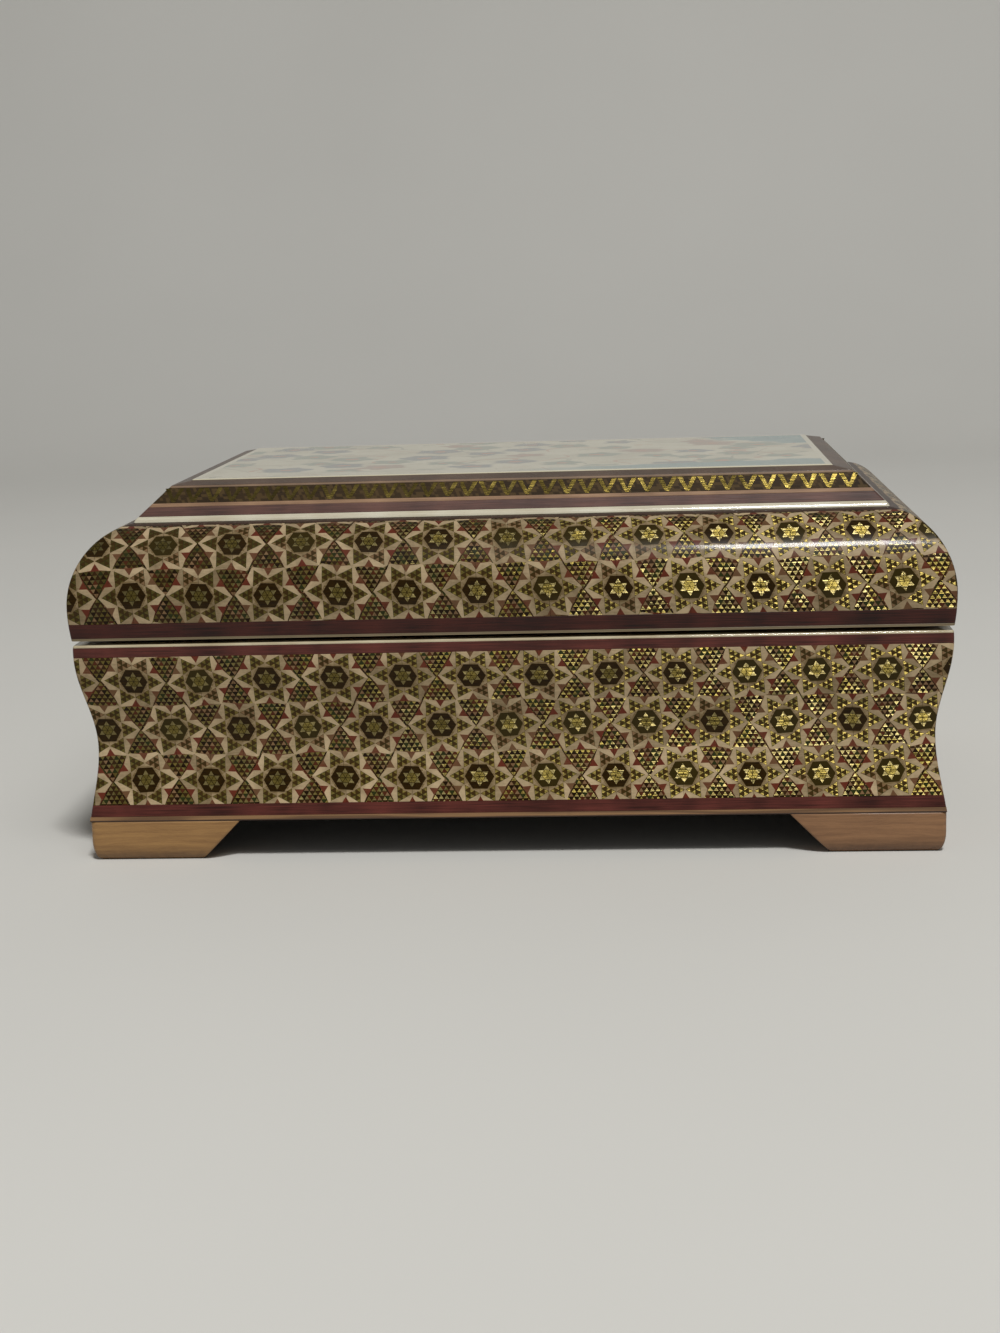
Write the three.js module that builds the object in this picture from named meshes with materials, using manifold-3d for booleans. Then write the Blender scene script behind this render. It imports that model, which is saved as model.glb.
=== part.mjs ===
// A hinged jewelry box in khatam, the Persian mosaic of tiny wood, bone and brass triangles.
// Millimetres, +Z up, front towards -Y, origin on the ground under the middle of the box.

import * as THREE from 'three';
import { mergeVertices } from 'three/addons/utils/BufferGeometryUtils.js';
import Module from 'manifold-3d';

// Overall size, across the widest line of the lid
const boxLength = 200;
const boxDepth = 136;

// Heights of the bands of the case, from the ground up
const footHeight = 9.4;
const floorEdge = 1.1;
const lowerStripHeight = 2.7;
const khatamHeight = 35.1;
const upperStripHeight = 2.3;
const rimLineHeight = 0.6;
const seamHeight = 1;

// Side curve of the case. An inset is measured inwards from the widest line of the lid
const bottomInset = 1.7;
const waistInset = 4.1;
const waistRise = 17.5;
const waistWaveShare = 0.73;
const swellInset = 0.6;
const swellBelowRim = 2.2;

// Side curve of the lid: a slight swell, then a quarter of an ellipse
const lidLineHeight = 0.6;
const lidStripHeight = 3.3;
const lidRimInset = 0.54;
const widestRise = 7.3;
const domeRun = 15;
const domeRise = 18.1;
const domeEndInset = 13.4;

// Raised top of the lid: widths along the slope, and slopes in degrees
const bandWidth = 1.65;
const bandSlope = 53;
const bevelSlope = 44;
const redStripWidth = 2.85;
const lightLineWidth = 1.1;
const zigzagWidth = 4.65;
const topLineWidth = 0.62;
const frameSlope = 11;
const frameStripWidth = 4.27;
const panelProud = 0.2;

// Wood, veneer and lining
const veneer = 0.8;
const wallInset = 11;
const shelfWidth = 6;
const ceilingDrop = 3.75;
const floorThickness = 2;
const liningThickness = 1.2;
const liningBelowRim = 1.5;
const padThickness = 2.5;
const padCorner = 2;
const padRound = 0.6;
const clearance = 0.3;

// Bracket feet
const footTopLength = 35.3;
const footSoleLength = 26;
const footThickness = 6;
const footRound = 2;

// Butt hinges
const lidOpening = 100;
const edgeAllowance = 5;
const hingeSpacing = 110;
const hingeLength = 20;
const knuckleRadius = 1.2;
const knuckleGap = 0.3;
const middleKnuckle = 9.1;
const leafGap = 0.2;
const leafWidth = 7.5;
const pinClearance = 0.05;
const edgingBehindHinge = 0.8;
const screwSpacing = 12;
const screwFromPin = 4.8;
const screwHeadRadius = 1;
const screwShankRadius = 0.45;
const screwLength = 6;
const screwClearance = 0.05;
const screwSlotWidth = 0.3;
const screwSlotDepth = 0.2;

// Fineness of the curves
const curveStep = 3;
const domeSteps = 14;
const roundSteps = 3;
const cylinderSides = 16;

// Levels worked out from the heights
const caseBottom = footHeight;
const wallBottom = caseBottom + floorEdge;
const khatamBottom = wallBottom + lowerStripHeight;
const khatamTop = khatamBottom + khatamHeight;
const upperStripTop = khatamTop + upperStripHeight;
const rim = upperStripTop + rimLineHeight;
const lidBottom = rim + seamHeight;
const lidLineTop = lidBottom + lidLineHeight;
const lidStripTop = lidLineTop + lidStripHeight;
const widest = lidBottom + widestRise;

// Hinge sizes worked out from the seam that its two leaves fill
const leafThickness = (seamHeight - leafGap) / 2;
const boreRadius = knuckleRadius - leafThickness;
const pinInset = knuckleRadius;
const pinHeight = rim + seamHeight / 2;
const grooveRadius = knuckleRadius + clearance;
const edgingInset = pinInset + grooveRadius + edgingBehindHinge;

const wasm = await Module();
wasm.setup();

const radians = THREE.MathUtils.degToRad;
const point = (inset, height) => new THREE.Vector2(inset, height);

// Materials
function finish(color, roughness, metalness = 0) {
  return new THREE.MeshStandardMaterial({ color, roughness, metalness });
}

const finishes = {
  coreWood: finish('#6b4a30', 0.6),
  footWood: finish('#a67f50', 0.5),
  floorWood: finish('#9a7448', 0.6),
  khatam: finish('#7d7350', 0.3),
  redStrip: finish('#57201f', 0.3),
  frameStrip: finish('#4b3a30', 0.3),
  lightLine: finish('#b08a55', 0.4),
  zigzag: finish('#8a7a35', 0.3),
  bone: finish('#cfc8b2', 0.3),
  panel: finish('#d8d3c0', 0.25),
  brass: finish('#b8963e', 0.3, 1),
  velvet: finish('#5e1420', 0.95),
};

// A closed surface through sections that all have the same number of points. With a flat outline
// of the section it gets two end faces, and without one the last section joins the first.
function loft(sections, outline) {
  const count = sections[0].length;
  const links = outline ? sections.length - 1 : sections.length;
  const index = [];
  for (let s = 0; s < links; s++) {
    const here = s * count;
    const next = ((s + 1) % sections.length) * count;
    for (let i = 0; i < count; i++) {
      const j = (i + 1) % count;
      index.push(here + i, next + i, next + j, here + i, next + j, here + j);
    }
  }
  if (outline) {
    const last = (sections.length - 1) * count;
    for (const [a, b, c] of THREE.ShapeUtils.triangulateShape(outline, [])) {
      index.push(a, b, c, last + a, last + c, last + b);
    }
  }
  const geometry = new THREE.BufferGeometry().setFromPoints(sections.flat());
  geometry.setIndex(index);
  if (volumeOf(geometry) < 0) {
    index.reverse();
    geometry.setIndex(index);
  }
  geometry.computeVertexNormals();
  return geometry;
}

function volumeOf(geometry) {
  const position = geometry.getAttribute('position');
  const corners = [new THREE.Vector3(), new THREE.Vector3(), new THREE.Vector3()];
  let volume = 0;
  for (let i = 0; i < geometry.index.count; i += 3) {
    corners.forEach((corner, k) => corner.fromBufferAttribute(position, geometry.index.getX(i + k)));
    volume += corners[0].dot(corners[1].clone().cross(corners[2])) / 6;
  }
  return volume;
}

function anticlockwise(profile) {
  return THREE.ShapeUtils.isClockWise(profile) ? [...profile].reverse() : profile;
}

// One side of a mitred frame: a profile of insets and heights, along a side of the given length
function mitredSide(profile, length, depth) {
  const outline = anticlockwise(profile);
  const section = (end) =>
    outline.map((p) => new THREE.Vector3(end * (length / 2 - p.x), -(depth / 2 - p.x), p.y));
  return loft([section(-1), section(1)], outline);
}

// The same profile right round the box
function mitredRing(profile) {
  const outline = anticlockwise(profile);
  const corners = [[-1, -1], [1, -1], [1, 1], [-1, 1]];
  return loft(
    corners.map(([x, y]) =>
      outline.map((p) => new THREE.Vector3(x * (boxLength / 2 - p.x), y * (boxDepth / 2 - p.x), p.y)),
    ),
  );
}

// A solid block whose rectangular outline steps through the given insets and heights
function steppedBlock(levels) {
  const corners = [point(-1, -1), point(1, -1), point(1, 1), point(-1, 1)];
  const section = (level) =>
    corners.map(
      (c) => new THREE.Vector3(c.x * (boxLength / 2 - level.x), c.y * (boxDepth / 2 - level.x), level.y),
    );
  return loft(levels.map(section), corners);
}

function rectangle(insetA, insetB, low, high) {
  return [point(insetA, low), point(insetB, low), point(insetB, high), point(insetA, high)];
}

// Joining and cutting
function solidOf(geometry) {
  const bare = geometry.clone();
  bare.deleteAttribute('normal');
  bare.deleteAttribute('uv');
  const merged = mergeVertices(bare, 1e-4);
  return new wasm.Manifold(
    new wasm.Mesh({
      numProp: 3,
      vertProperties: merged.getAttribute('position').array,
      triVerts: new Uint32Array(merged.index.array),
    }),
  );
}

function geometryOf(solid) {
  const mesh = solid.getMesh();
  const geometry = new THREE.BufferGeometry();
  geometry.setAttribute('position', new THREE.BufferAttribute(mesh.vertProperties, 3));
  geometry.setIndex(new THREE.BufferAttribute(mesh.triVerts, 1));
  geometry.computeVertexNormals();
  return geometry;
}

function joined(geometries) {
  return geometryOf(geometries.map(solidOf).reduce((whole, solid) => whole.add(solid)));
}

function cutBy(geometry, cutters) {
  return geometryOf(cutters.map(solidOf).reduce((rest, cutter) => rest.subtract(cutter), solidOf(geometry)));
}

// Cutters are given where they stand in the box, whatever way the mesh is turned
function cutMesh(mesh, cutters) {
  mesh.updateMatrix();
  const inverse = mesh.matrix.clone().invert();
  mesh.geometry = cutBy(mesh.geometry, cutters.map((cutter) => cutter.clone().applyMatrix4(inverse)));
}

function rodAlongX(radius, length) {
  return new THREE.CylinderGeometry(radius, radius, length, cylinderSides).rotateZ(Math.PI / 2);
}

// Side curve of the case, as an inset for each height
function caseInset(height) {
  const waist = caseBottom + waistRise;
  const halfWave = (share) => (1 - Math.cos(Math.PI * share)) / 2;
  if (height < waist) {
    const share = (waistWaveShare * (waist - height)) / waistRise;
    return waistInset - ((waistInset - bottomInset) * halfWave(share)) / halfWave(waistWaveShare);
  }
  const share = (height - waist) / (rim - swellBelowRim - waist);
  return waistInset - (waistInset - swellInset) * halfWave(share);
}

function caseCurve(low, high, depth = 0) {
  const steps = Math.max(1, Math.round((high - low) / curveStep));
  return Array.from({ length: steps + 1 }, (_, i) => {
    const height = low + ((high - low) * i) / steps;
    return point(caseInset(height) + depth, height);
  });
}

// A veneer that covers the case from one height to another
function caseVeneer(low, high) {
  return [...caseCurve(low, high), ...caseCurve(low, high, veneer).reverse()];
}

// Side curve of the lid from its lower edge to its widest line
function lidSwell(low, depth = 0) {
  const steps = 2;
  return Array.from({ length: steps + 1 }, (_, i) => {
    const height = low + ((widest - low) * i) / steps;
    return point(lidInset(height) + depth, height);
  });
}

function lidInset(height) {
  return lidRimInset * ((widest - height) / widestRise) ** 2;
}

// The lid's surface from its widest line to the picture, and the same line one veneer deeper
const domeEndAngle = Math.acos(1 - domeEndInset / domeRun);
const domeCurve = Array.from({ length: domeSteps + 1 }, (_, i) => {
  const angle = (domeEndAngle * i) / domeSteps;
  return point(domeRun * (1 - Math.cos(angle)), widest + domeRise * Math.sin(angle));
});
const topStrips = [
  [bandWidth, bandSlope],
  [redStripWidth, bevelSlope],
  [lightLineWidth, bevelSlope],
  [zigzagWidth, bevelSlope],
  [topLineWidth, bevelSlope],
  [frameStripWidth, frameSlope],
];
const topLine = [...domeCurve];
for (const [width, slope] of topStrips) {
  const run = point(Math.cos(radians(slope)), Math.sin(radians(slope))).multiplyScalar(width);
  topLine.push(topLine.at(-1).clone().add(run));
}
const coreLine = topLine.map((here, i) => {
  if (i === 0) return point(here.x + veneer, here.y);
  const before = here.clone().sub(topLine[i - 1]).normalize();
  const inwards = point(before.y, -before.x);
  if (i === topLine.length - 1) return point(here.x, here.y + veneer / inwards.y);
  const after = topLine[i + 1].clone().sub(here).normalize();
  const middle = point(before.y + after.y, -before.x - after.x).normalize();
  return here.clone().addScaledVector(middle, veneer / middle.dot(inwards));
});
const domeEnd = domeSteps;
const lastStrip = topLine.length - 1;

// A strip between two points of the lid's line
function lidVeneer(from, to) {
  return [...topLine.slice(from, to + 1), ...coreLine.slice(from, to + 1).reverse()];
}

const shelfTop = coreLine[domeEnd].y;
const ceiling = shelfTop - ceilingDrop;
const panelInset = topLine[lastStrip].x;
const boardTop = coreLine[lastStrip].y;
const panelTop = topLine[lastStrip].y + panelProud;

// Building the scene graph
const caseGroup = new THREE.Group();
const lidGroup = new THREE.Group();

function place(group, name, geometry, material) {
  const mesh = new THREE.Mesh(geometry, material.clone());
  mesh.name = name;
  group.add(mesh);
  return mesh;
}

const sides = [
  { name: 'front', turn: 0, length: boxLength, depth: boxDepth },
  { name: 'right', turn: Math.PI / 2, length: boxDepth, depth: boxLength },
  { name: 'back', turn: Math.PI, length: boxLength, depth: boxDepth },
  { name: 'left', turn: -Math.PI / 2, length: boxDepth, depth: boxLength },
];

// Four mitred pieces, one on each side, as a record with a mesh for each side
function placeSides(group, name, profile, material) {
  const meshes = {};
  for (const side of sides) {
    const geometry = mitredSide(profile, side.length, side.depth);
    meshes[side.name] = place(group, `${name}_${side.name}`, geometry, material);
    meshes[side.name].rotation.z = side.turn;
  }
  return meshes;
}

// The case
function buildCase() {
  const wallProfile = [
    ...caseCurve(wallBottom, khatamBottom, veneer),
    ...caseCurve(khatamBottom, khatamTop, veneer).slice(1, -1),
    ...caseCurve(khatamTop, upperStripTop, veneer),
    point(edgingInset, upperStripTop),
    point(edgingInset, rim),
    point(wallInset, rim),
    point(wallInset, wallBottom),
  ];
  const walls = placeSides(caseGroup, 'case_wall', wallProfile, finishes.coreWood);
  placeSides(caseGroup, 'case_khatam', caseVeneer(khatamBottom, khatamTop), finishes.khatam);
  const lowerStrip = mitredRing(caseVeneer(wallBottom, khatamBottom));
  place(caseGroup, 'case_lower_red_strip', lowerStrip, finishes.redStrip);
  const upperStrip = mitredRing(caseVeneer(khatamTop, upperStripTop));
  const upper = place(caseGroup, 'case_upper_red_strip', upperStrip, finishes.redStrip);
  const lineProfile = [
    ...caseCurve(upperStripTop, rim),
    point(edgingInset, rim),
    point(edgingInset, upperStripTop),
  ];
  const line = place(caseGroup, 'case_rim_bone_line', mitredRing(lineProfile), finishes.bone);

  const floorTop = wallBottom + floorThickness;
  const floorBoard = steppedBlock([
    point(caseInset(caseBottom), caseBottom),
    point(caseInset(wallBottom), wallBottom),
    point(wallInset + clearance, wallBottom),
    point(wallInset + clearance, floorTop),
  ]);
  place(caseGroup, 'floor_board', floorBoard, finishes.floorWood);

  const liningProfile = rectangle(
    wallInset,
    wallInset + liningThickness,
    floorTop + clearance,
    rim - liningBelowRim,
  );
  placeSides(caseGroup, 'case_lining', liningProfile, finishes.velvet);
  placePad(caseGroup, 'floor_pad', floorTop + clearance);
  return { walls, upper, line };
}

// A velvet pad that fills the plan inside the linings
function placePad(group, name, bottom) {
  const inset = wallInset + liningThickness + clearance + padRound;
  const x = boxLength / 2 - inset;
  const y = boxDepth / 2 - inset;
  const shape = new THREE.Shape();
  shape.moveTo(-x + padCorner, -y);
  shape.lineTo(x - padCorner, -y);
  shape.absarc(x - padCorner, -y + padCorner, padCorner, -Math.PI / 2, 0, false);
  shape.lineTo(x, y - padCorner);
  shape.absarc(x - padCorner, y - padCorner, padCorner, 0, Math.PI / 2, false);
  shape.lineTo(-x + padCorner, y);
  shape.absarc(-x + padCorner, y - padCorner, padCorner, Math.PI / 2, Math.PI, false);
  shape.lineTo(-x, -y + padCorner);
  shape.absarc(-x + padCorner, -y + padCorner, padCorner, Math.PI, 1.5 * Math.PI, false);
  const geometry = new THREE.ExtrudeGeometry(shape, {
    depth: padThickness - 2 * padRound,
    bevelSize: padRound,
    bevelThickness: padRound,
    bevelSegments: roundSteps,
    curveSegments: roundSteps,
  });
  const pad = place(group, name, geometry, finishes.velvet);
  pad.position.z = bottom + padRound;
}

// A bracket foot: two plates that meet in a mitre under a corner, each with a slanted inner end
function buildFeet() {
  const footInset = caseInset(caseBottom);
  const inner = footInset + footThickness;
  const roundedEdge = Array.from({ length: roundSteps + 1 }, (_, i) => {
    const angle = ((Math.PI / 2) * i) / roundSteps;
    return point(footInset + footRound * (1 - Math.sin(angle)), footRound * (1 - Math.cos(angle)));
  }).reverse();
  const profile = [
    point(footInset, footHeight),
    ...roundedEdge,
    point(inner, 0),
    point(inner, footHeight),
  ];
  const outline = anticlockwise(profile);
  const reach = (height) =>
    footInset + footSoleLength + ((footTopLength - footSoleLength) * height) / footHeight;
  const stations = [
    (p) => new THREE.Vector3(reach(p.y), p.x, p.y),
    (p) => new THREE.Vector3(p.x, p.x, p.y),
    (p) => new THREE.Vector3(p.x, reach(p.y), p.y),
  ];
  const corners = { front_left: [-1, -1], front_right: [1, -1], back_right: [1, 1], back_left: [-1, 1] };
  for (const [name, [x, y]] of Object.entries(corners)) {
    const sections = stations.map((station) =>
      outline.map((p) => {
        const q = station(p);
        return new THREE.Vector3(x * (boxLength / 2 - q.x), y * (boxDepth / 2 - q.y), q.z);
      }),
    );
    place(caseGroup, `foot_${name}`, loft(sections, outline), finishes.footWood);
  }
}

// The lid
function buildLid() {
  const lineProfile = [
    point(lidInset(lidBottom), lidBottom),
    point(lidInset(lidLineTop), lidLineTop),
    point(edgingInset, lidLineTop),
    point(edgingInset, lidBottom),
  ];
  const line = place(lidGroup, 'lid_rim_bone_line', mitredRing(lineProfile), finishes.bone);
  const stripProfile = [
    point(lidInset(lidLineTop), lidLineTop),
    point(lidInset(lidStripTop), lidStripTop),
    point(lidInset(lidStripTop) + veneer, lidStripTop),
    point(lidInset(lidLineTop) + veneer, lidLineTop),
  ];
  const strip = place(lidGroup, 'lid_red_strip', mitredRing(stripProfile), finishes.redStrip);

  const shelfInset = wallInset + shelfWidth;
  const railProfile = [
    point(edgingInset, lidBottom),
    point(edgingInset, lidLineTop),
    point(lidInset(lidLineTop) + veneer, lidLineTop),
    ...lidSwell(lidStripTop, veneer),
    ...coreLine.slice(1, domeEnd + 1),
    point(shelfInset, shelfTop),
    point(shelfInset, ceiling),
    point(wallInset, ceiling),
    point(wallInset, lidBottom),
  ];
  const rails = placeSides(lidGroup, 'lid_rail', railProfile, finishes.coreWood);

  const khatamProfile = [
    ...lidSwell(lidStripTop),
    ...topLine.slice(1, domeEnd + 1),
    ...coreLine.slice(1, domeEnd + 1).reverse(),
    ...lidSwell(lidStripTop, veneer).reverse(),
  ];
  placeSides(lidGroup, 'lid_khatam', khatamProfile, finishes.khatam);

  const raisedBoard = steppedBlock([
    point(shelfInset + clearance, ceiling),
    point(shelfInset + clearance, shelfTop),
    ...coreLine.slice(domeEnd),
  ]);
  place(lidGroup, 'raised_board', raisedBoard, finishes.coreWood);
  const strips = [
    ['lid_bone_band', finishes.bone],
    ['bevel_red_strip', finishes.redStrip],
    ['bevel_light_line', finishes.lightLine],
    ['bevel_zigzag_strip', finishes.zigzag],
    ['bevel_top_line', finishes.lightLine],
    ['picture_frame_strip', finishes.frameStrip],
  ];
  strips.forEach(([name, material], i) => {
    place(lidGroup, name, mitredRing(lidVeneer(domeEnd + i, domeEnd + i + 1)), material);
  });
  const panel = steppedBlock([point(panelInset, boardTop), point(panelInset, panelTop)]);
  place(lidGroup, 'picture_panel', panel, finishes.panel);

  const liningProfile = rectangle(
    wallInset,
    wallInset + liningThickness,
    lidBottom + liningBelowRim,
    ceiling - clearance,
  );
  placeSides(lidGroup, 'lid_lining', liningProfile, finishes.velvet);
  placePad(lidGroup, 'lid_pad', ceiling - clearance - padThickness);
  return { rails, line, strip };
}

// A countersunk wood screw with its head up and flush with height 0, or the hole that it fills
function screwGeometry(allowance) {
  const head = screwHeadRadius + allowance;
  const shank = screwShankRadius + allowance;
  const profile = [
    point(0, 0),
    point(head, 0),
    point(shank, -(screwHeadRadius - screwShankRadius)),
    point(shank, -screwLength + screwHeadRadius),
    point(0, -screwLength - allowance),
  ];
  return new THREE.LatheGeometry(profile.reverse(), cylinderSides / 2).rotateX(Math.PI / 2);
}

// The two hinges. Their leaves lie in the seam, and their knuckles in a groove of both rims
function buildHinges(caseParts, lidParts) {
  const pinDepth = boxDepth / 2 - pinInset;
  const endKnuckle = (hingeLength - middleKnuckle) / 2 - knuckleGap;
  const endMiddle = (hingeLength - endKnuckle) / 2;
  const grooves = [];
  const caseHoles = [];
  const lidHoles = [];
  for (const [name, side] of [['left', -1], ['right', 1]]) {
    const at = new THREE.Vector3((side * hingeSpacing) / 2, pinDepth, pinHeight);
    const move = (geometry) => geometry.clone().translate(at.x, at.y, at.z);
    grooves.push(move(rodAlongX(grooveRadius, hingeLength + 2 * clearance)));

    const sheetWidth = leafWidth - boreRadius - leafThickness / 2;
    const sheet = new THREE.BoxGeometry(hingeLength, sheetWidth, leafThickness);
    sheet.translate(0, -leafWidth + sheetWidth / 2, -seamHeight / 2 + leafThickness / 2);
    const screwSpots = [-1, 1].map((end) => [(end * screwSpacing) / 2, -screwFromPin]);
    const headHeight = leafGap / 2;
    const bore = rodAlongX(boreRadius, hingeLength + 2 * clearance);
    const middleRod = (radius, spare) => rodAlongX(radius, middleKnuckle + 2 * spare);
    const endRods = (radius, spare) =>
      [-1, 1].map((end) => {
        const rod = rodAlongX(radius, endKnuckle + spare);
        return rod.translate(end * (endMiddle + spare / 2 - (spare ? knuckleGap : 0)), 0, 0);
      });
    const holes = screwSpots.map(([x, y]) => screwGeometry(screwClearance).translate(x, y, -headHeight));

    const lowerLeaf = cutBy(joined([sheet, ...endRods(knuckleRadius, 0)]), [
      bore,
      middleRod(grooveRadius, knuckleGap),
      ...holes,
    ]);
    const upperSheet = sheet.clone().translate(0, 0, seamHeight - leafThickness);
    const upperHoles = screwSpots.map(([x, y]) => {
      const hole = screwGeometry(screwClearance).rotateX(Math.PI);
      return hole.translate(x, y, headHeight);
    });
    const upperLeaf = cutBy(joined([upperSheet, middleRod(knuckleRadius, 0)]), [
      bore,
      ...endRods(grooveRadius, 2 * knuckleGap),
      ...upperHoles,
    ]);
    const pin = rodAlongX(boreRadius - pinClearance, hingeLength);
    place(caseGroup, `hinge_${name}_lower_leaf`, lowerLeaf, finishes.brass).position.copy(at);
    place(lidGroup, `hinge_${name}_upper_leaf`, upperLeaf, finishes.brass).position.copy(at);
    place(caseGroup, `hinge_${name}_pin`, pin, finishes.brass).position.copy(at);

    const slot = new THREE.BoxGeometry(2 * screwHeadRadius + clearance, screwSlotWidth, 2 * screwSlotDepth);
    const screw = cutBy(screwGeometry(0), [slot]);
    screwSpots.forEach(([x, y], i) => {
      const lower = place(caseGroup, `hinge_${name}_lower_screw_${i + 1}`, screw, finishes.brass);
      lower.position.copy(at).add(new THREE.Vector3(x, y, -headHeight));
      const upper = place(lidGroup, `hinge_${name}_upper_screw_${i + 1}`, screw, finishes.brass);
      upper.position.copy(at).add(new THREE.Vector3(x, y, headHeight));
      upper.rotation.x = Math.PI;
    });
    caseHoles.push(...holes.map(move));
    lidHoles.push(...upperHoles.map(move));
  }

  // The back edge of the lid is planed off so that it meets the case's edge when it stands open
  const caseEdgeAngle = Math.atan2(seamHeight / 2, pinInset - caseInset(rim));
  const planed = radians(lidOpening + edgeAllowance) - caseEdgeAngle;
  const reach = 4 * knuckleRadius;
  const wedge = new THREE.Shape([
    point(0, 0),
    point(reach, 0),
    point(reach * Math.cos(planed), reach * Math.sin(planed)),
  ]);
  const planing = new THREE.ExtrudeGeometry(wedge, { depth: boxLength, bevelEnabled: false });
  planing.translate(0, 0, -boxLength / 2);
  planing.applyMatrix4(new THREE.Matrix4().makeBasis(
    new THREE.Vector3(0, 1, 0),
    new THREE.Vector3(0, 0, 1),
    new THREE.Vector3(1, 0, 0),
  ));
  planing.translate(0, pinDepth, pinHeight);

  cutMesh(caseParts.walls.back, [...grooves, ...caseHoles]);
  cutMesh(caseParts.upper, grooves);
  cutMesh(caseParts.line, grooves);
  cutMesh(lidParts.rails.back, [...grooves, ...lidHoles]);
  cutMesh(lidParts.strip, [planing, ...grooves]);
  cutMesh(lidParts.line, [planing, ...grooves]);
}

const caseParts = buildCase();
buildFeet();
const lidParts = buildLid();
buildHinges(caseParts, lidParts);

const box = new THREE.Group();
box.add(caseGroup, lidGroup);

export default box;
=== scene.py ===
import math

import bmesh
import bpy
from mathutils import Matrix, Vector


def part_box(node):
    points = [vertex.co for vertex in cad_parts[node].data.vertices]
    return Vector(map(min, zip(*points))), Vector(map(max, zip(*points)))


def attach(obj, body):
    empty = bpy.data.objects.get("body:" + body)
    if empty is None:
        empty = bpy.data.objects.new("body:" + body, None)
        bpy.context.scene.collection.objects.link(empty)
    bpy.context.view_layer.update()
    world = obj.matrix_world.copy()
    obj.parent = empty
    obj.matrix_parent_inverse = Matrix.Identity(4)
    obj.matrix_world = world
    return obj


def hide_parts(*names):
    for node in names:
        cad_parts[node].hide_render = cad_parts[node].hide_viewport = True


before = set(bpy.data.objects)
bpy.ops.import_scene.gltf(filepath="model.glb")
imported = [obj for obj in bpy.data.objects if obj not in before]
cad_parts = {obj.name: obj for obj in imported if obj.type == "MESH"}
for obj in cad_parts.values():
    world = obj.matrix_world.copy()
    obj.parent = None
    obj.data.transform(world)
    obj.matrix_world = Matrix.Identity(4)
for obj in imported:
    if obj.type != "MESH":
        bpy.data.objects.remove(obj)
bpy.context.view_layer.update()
mm = 0.001  # Blender works in metres, the sizes below are in millimetres

# Camera and stage

cameraSettings = {
    "place": (33.2, -530.8, 132.9),
    "yaw": 4.30,
    "pitch": 10.74,
    "roll": -1.78,
    "lens": 56.71,
    "sensor": 36.0,
}


def makeCamera(values):
    yaw, pitch, roll = (math.radians(values[k]) for k in ("yaw", "pitch", "roll"))
    forward = Vector((-math.sin(yaw) * math.cos(pitch), math.cos(yaw) * math.cos(pitch), -math.sin(pitch)))
    level = Vector((math.cos(yaw), math.sin(yaw), 0))
    upright = level.cross(forward)
    right = math.cos(roll) * level + math.sin(roll) * upright
    up = -math.sin(roll) * level + math.cos(roll) * upright
    data = bpy.data.cameras.new("camera")
    data.lens = values["lens"]
    data.sensor_width = values["sensor"]
    camera = bpy.data.objects.new("camera", data)
    bpy.context.scene.collection.objects.link(camera)
    turn = Matrix((right, up, -forward)).transposed().to_4x4()
    camera.matrix_world = Matrix.Translation(Vector(values["place"]) * mm) @ turn
    bpy.context.scene.camera = camera


makeCamera(cameraSettings)
print("camera placed")

# Node materials, written as expressions


class Field:
    # a socket of a node tree that can be used in expressions
    def __init__(self, tree, socket=None):
        self.tree = tree
        self.socket = socket

    def node(self, kind, settings=None, inputs=None, output=0):
        made = self.tree.nodes.new(kind)
        for key, value in (settings or {}).items():
            if key == "stops":
                setStops(made.color_ramp, value)
            else:
                setattr(made, key, value)
        for key, value in (inputs or {}).items():
            if isinstance(value, Field):
                self.tree.links.new(value.socket, made.inputs[key])
            else:
                made.inputs[key].default_value = value
        return Field(self.tree, made.outputs[output])

    def math(self, operation, *values):
        return self.node("ShaderNodeMath", {"operation": operation}, dict(enumerate(values)))

    def __add__(self, other):
        return self.math("ADD", self, other)

    def __radd__(self, other):
        return self.math("ADD", other, self)

    def __sub__(self, other):
        return self.math("SUBTRACT", self, other)

    def __rsub__(self, other):
        return self.math("SUBTRACT", other, self)

    def __mul__(self, other):
        return self.math("MULTIPLY", self, other)

    def __rmul__(self, other):
        return self.math("MULTIPLY", other, self)

    def __truediv__(self, other):
        return self.math("DIVIDE", self, other)

    def __lt__(self, other):
        return self.math("LESS_THAN", self, other)

    def __gt__(self, other):
        return self.math("GREATER_THAN", self, other)

    def __abs__(self):
        return self.math("ABSOLUTE", self)

    def __pow__(self, other):
        return self.math("POWER", self, other)

    def floor(self):
        return self.math("FLOOR", self)

    def fract(self):
        return self.math("FRACT", self)

    def least(self, other):
        return self.math("MINIMUM", self, other)

    def most(self, other):
        return self.math("MAXIMUM", self, other)

    def blend(self, low, high):
        # self is the share of high, on values or on colours
        if isColour(low) or isColour(high):
            inputs = {0: self, 6: colour(low), 7: colour(high)}
            return self.node("ShaderNodeMix", {"data_type": "RGBA"}, inputs, 2)
        return self.node("ShaderNodeMix", {}, {0: self, 2: low, 3: high}, 0)

    def step(self, low, high):
        # 0 under low, 1 over high, smooth between
        return self.node(
            "ShaderNodeMapRange",
            {"interpolation_type": "SMOOTHSTEP"},
            {"Value": self, "From Min": low, "From Max": high},
        )


def isColour(value):
    return isinstance(value, tuple) or isinstance(value, Field) and value.socket.type == "RGBA"


def colour(value):
    return value if isinstance(value, Field) else (*value[:3], 1.0)


def setStops(ramp, stops):
    while len(ramp.elements) < len(stops):
        ramp.elements.new(0.5)
    for element, (place, shade) in zip(ramp.elements, stops):
        element.position = place
        element.color = (*shade, 1.0)


def srgb(red, green, blue):
    # the linear colour of a screen colour given in 0 to 255
    def linear(level):
        level /= 255
        return level / 12.92 if level <= 0.04045 else ((level + 0.055) / 1.055) ** 2.4

    return (linear(red), linear(green), linear(blue))


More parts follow.
